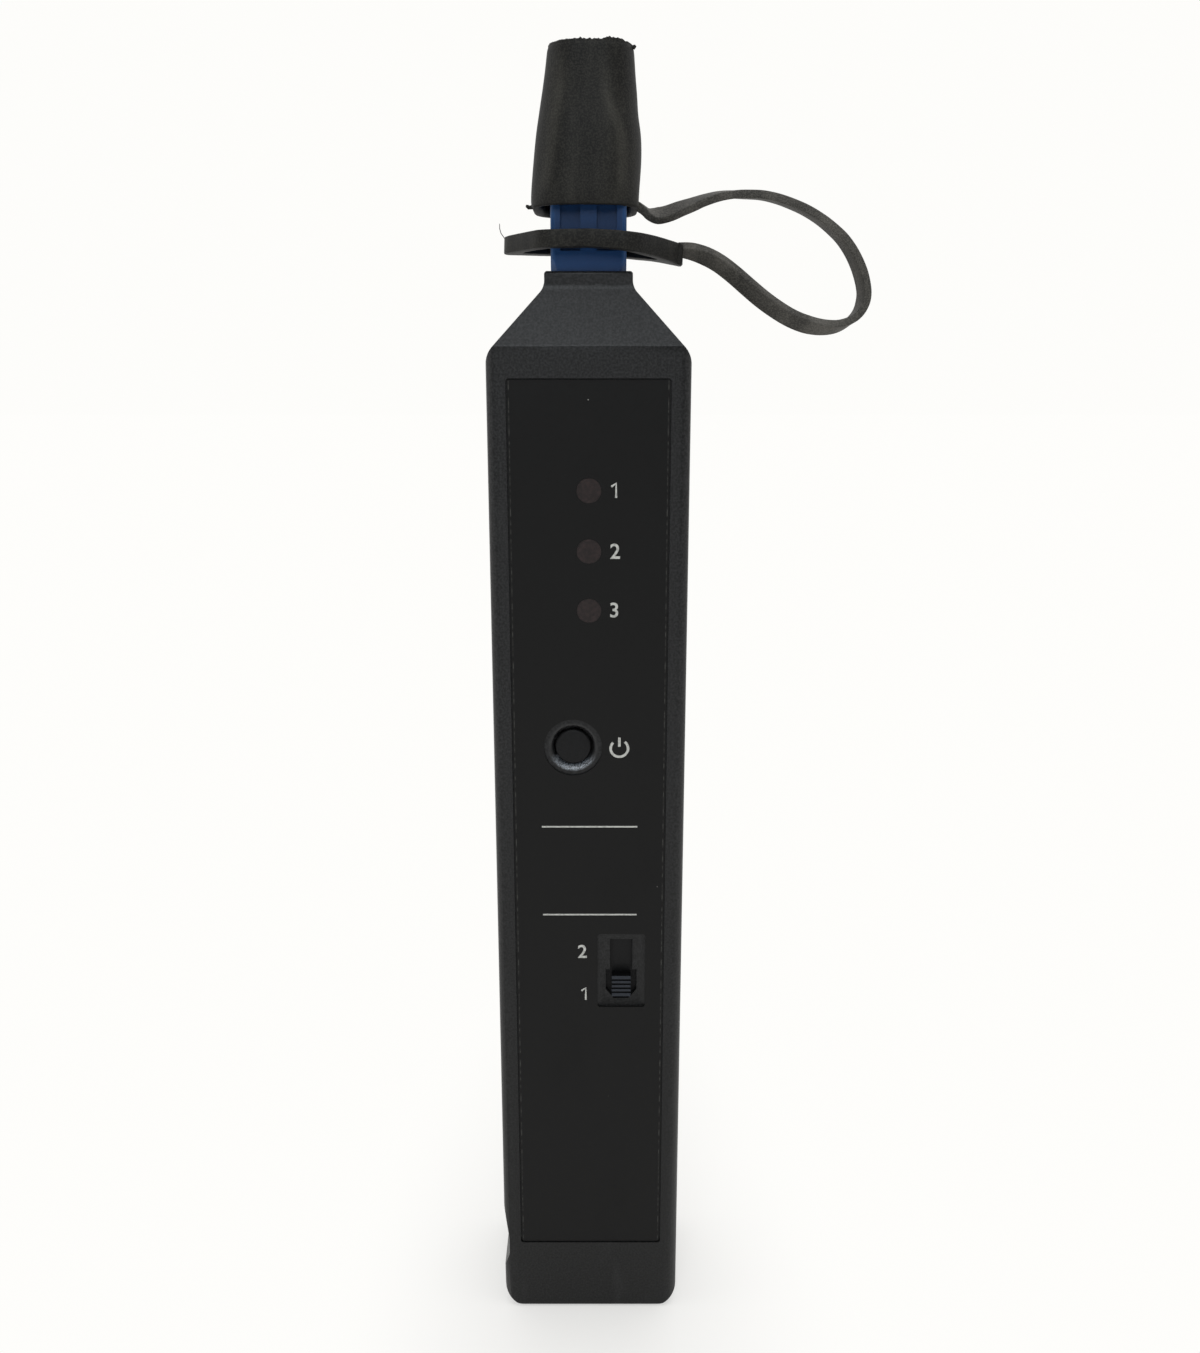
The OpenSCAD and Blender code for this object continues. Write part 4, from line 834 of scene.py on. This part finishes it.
def power_button():
    """The button's cap: a low dome with a rounded edge over its skirt and flange."""
    x, z = BUTTON
    front, rim, skirt, flange = -9.35, 2.37, 2.13, 3.1
    piece = disc("power_button_cap", (x, front, z), rim, 1.4, 64)
    opened(piece)
    pick("FACE", lambda m, f: f.normal.y > 0.9)
    bpy.ops.transform.resize(value=(skirt / rim, 1, skirt / rim), center_override=mm(x, 0, z))
    bpy.ops.mesh.extrude_region_move(TRANSFORM_OT_translate={"value": (0, 0, 0)})
    bpy.ops.transform.resize(value=(flange / skirt, 1, flange / skirt), center_override=mm(x, 0, z))
    bpy.ops.mesh.extrude_region_move(TRANSFORM_OT_translate={"value": mm(0, 0.55, 0)})
    pick("FACE", lambda m, f: f.normal.y < -0.9 and m.y < front + 0.05)
    for inset in (0.3, 0.7, 0.7):
        bpy.ops.mesh.inset(thickness=inset * MM)
        bpy.ops.transform.translate(value=mm(0, -0.05, 0))
    pick("EDGE", lambda m, e: abs(m.y - front) < 0.01 and (m - Vector((x, m.y, z))).length > rim - 0.07)
    bpy.ops.mesh.bevel(offset=0.2 * MM, segments=3, affect="EDGES")
    closed(50)
    settled(piece, "power_button", "control_plastic", "power_button")


def drawn(name, strokes, wide, y):
    """Lines of round wire in the plane of the front: each stroke is a list of X and Z in millimetres."""
    data = bpy.data.curves.new(name, "CURVE")
    data.dimensions = "3D"
    data.bevel_depth = wide / 2 * MM
    data.bevel_resolution = 2
    data.use_fill_caps = True
    for points in strokes:
        line = data.splines.new("POLY")
        line.points.add(len(points) - 1)
        for point, (x, z) in zip(line.points, points):
            point.co = (*mm(x, y, z), 1)
    bpy.ops.object.select_all(action="DESELECT")
    piece = bpy.data.objects.new(name, data)
    bpy.context.collection.objects.link(piece)
    piece.select_set(True)
    bpy.context.view_layer.objects.active = piece
    bpy.ops.object.convert(target="MESH")
    joined_up(piece)
    return named(name)


def joined_up(piece):
    """Joins the loose ends of a mesh made from a curve or text, its faces turned outwards."""
    opened(piece)
    bpy.ops.mesh.select_all(action="SELECT")
    bpy.ops.mesh.remove_doubles(threshold=2e-7)
    bpy.ops.mesh.normals_make_consistent(inside=False)
    closed()


def printed_mark(name, strokes, wide):
    """A mark of screen print on the overlay, from strokes a little raised."""
    piece = drawn(name, strokes, wide, PRINT_FACE)
    opened(piece)
    bpy.ops.mesh.select_all(action="SELECT")
    bpy.ops.transform.resize(value=(1, 0.1, 1), center_override=mm(0, PRINT_FACE, 0))
    closed(30)
    settled(piece, "housing", "overlay_film")
    piece.data.materials[0] = finish["print_ink"]


def printed_figure(name, figure, edge, z, side):
    """A figure of screen print: its left or right side at an edge on X, and its middle at Z."""
    bpy.ops.object.select_all(action="DESELECT")
    bpy.ops.object.text_add()
    text = bpy.context.object
    text.data.body = figure
    text.data.extrude = 0.008
    text.data.offset = 0.012
    text.data.resolution_u = 7
    bpy.ops.object.convert(target="MESH")
    piece = bpy.context.object
    across = [v.co.x for v in piece.data.vertices]
    up = [v.co.y for v in piece.data.vertices]
    grow = FIGURE_TALL * MM / (max(up) - min(up))
    start = min(across) if side == "left" else max(across)
    piece.scale = (grow, grow, grow)
    piece.rotation_euler = (math.pi / 2, 0, 0)
    piece.location = (edge * MM - start * grow, PRINT_FACE * MM, z * MM - (max(up) + min(up)) / 2 * grow)
    named(name)
    joined_up(piece)
    settled(piece, "housing", "overlay_film")
    piece.data.materials[0] = finish["print_ink"]


def overlay_prints():
    """Plain numbers by the indicators and the switch, a power mark and two thin rules."""
    for number, z in (("2", 113.4), ("3", 105.8)):
        printed_figure("print_lamp_" + number, number, 2.7, z, "left")
    printed_figure("print_switch_2", "2", -0.4, 57.9, "right")
    for name, left, z in (("lamp", 2.7, 121.1), ("switch", -1.3, 51.5)):
        flag = [(left + 0.13, z + 0.42), (left + 0.72, z + 0.83), (left + 0.72, z - 0.97)]
        printed_mark("print_" + name + "_1", [flag], 0.28)
    x, z = 3.95, BUTTON[1]
    turns = [math.radians(a) for a in range(38, 323, 12)]
    ring = [(x + 1.15 * math.sin(a), z - 0.1 + 1.15 * math.cos(a)) for a in turns]
    printed_mark("print_power", [ring, [(x, z + 0.15), (x, z + 1.4)]], 0.34)
    for name, z in (("upper", 76.2), ("lower", 63.4)):
        printed_mark("print_rule_" + name, [[(-6.4, z), (6.4, z)]], 0.22)


# Stage


def laid_floor():
    """A wide pale floor that fades into the white background."""
    bpy.ops.object.select_all(action="DESELECT")
    bpy.ops.mesh.primitive_plane_add(size=6)
    floor = named("floor")
    made = bpy.data.materials.new("floor_white")
    made.use_nodes = True
    tree = made.node_tree
    shader = tree.nodes["Principled BSDF"]
    shader.inputs["Base Color"].default_value = (0.8, 0.79, 0.77, 1)
    shader.inputs["Roughness"].default_value = 0.9
    shader.inputs["Specular IOR Level"].default_value = 0.1
    start = Flow(tree)
    place = start.node("TexCoord", out="Object")
    around = {"Vector": place, "Location": (0, 0.012, 0), "Scale": (1.5, 0.45, 0)}
    around = place.node("Mapping", None, around)
    away = around.node("VectorMath", {"operation": "LENGTH"}, {0: around}, 1)
    rays = tree.nodes.new("ShaderNodeLightPath").outputs
    seen = Flow(tree, rays["Is Camera Ray"]) + 0.42 * Flow(tree, rays["Is Glossy Ray"])
    plain = start.node("Emission", None, {"Color": (0.99, 0.985, 0.965, 1), "Strength": 1})
    lit = Flow(tree, shader.outputs[0])
    bright = 0.45 + 0.55 * step(away, 0.008, 0.06)
    mixed = start.node("MixShader", None, {0: bright * seen, 1: lit, 2: plain})
    tree.links.new(mixed.socket, tree.nodes["Material Output"].inputs["Surface"])
    floor.data.materials.append(made)


def sky():
    """A white background and a soft room that is darker on the side that the front faces."""
    world = bpy.data.worlds.new("sky")
    bpy.context.scene.world = world
    world.use_nodes = True
    tree = world.node_tree
    start = Flow(tree)
    rays = tree.nodes.new("ShaderNodeLightPath").outputs
    shown = Flow(tree, rays["Is Camera Ray"]) + Flow(tree, rays["Is Transmission Ray"])
    white = sky_light(start, 1, (0.985, 0.98, 0.96))
    toward = axis(start.node("TexCoord", out="Generated"), "Y")
    on_matt = sky_light(start, 0.16 + 0.8 * step(toward, -0.7, 0.4))
    on_gloss = sky_light(start, 0.06 + 0.8 * step(toward, -0.5, 0.4))
    glossy = Flow(tree, rays["Is Glossy Ray"])
    room = start.node("MixShader", None, {0: glossy, 1: on_matt, 2: on_gloss})
    seen = start.node("MixShader", None, {0: shown, 1: room, 2: white})
    tree.links.new(seen.socket, tree.nodes["World Output"].inputs["Surface"])


def sky_light(start, strength, tone=(1, 1, 1)):
    """The sky's light of a strength and a tone."""
    return start.node("Background", None, {"Color": (*tone, 1), "Strength": strength})


bpy.context.scene.view_settings.view_transform = "Standard"
camera()
laid_floor()
sky()
lamp("lamp_above", (0.05, -0.1, 0.65), (0, 0, 0.1), size=0.5, watts=1.75)
lamp("lamp_front", (-0.06, -0.78, 0.52), (0, 0, 0.13), size=0.4, watts=2.45, tone=(0.9, 0.96, 1))
lamp("lamp_left", (-0.7, -0.1, 0.35), (0, 0, 0.12), size=0.4, watts=0.9)
lamp("lamp_right", (0.7, -0.2, 0.35), (0, 0, 0.09), size=0.4, watts=0.4)
finish = finishes()
finished_nodes()
tether_strap()
tether_ring()
dust_cap()
flash_threads()
power_button()
overlay_prints()
moulding("front_shell", "housing", "case_plastic", 0.1, on_case, foot=True)
moulding("rear_shell", "housing", "case_plastic", 0.1, on_case)
moulding("battery_door", "battery_door", "case_plastic", 0.1, on_case, foot=True)
moulding("port_adapter", "housing", "port_blue", 0.12, on_port)
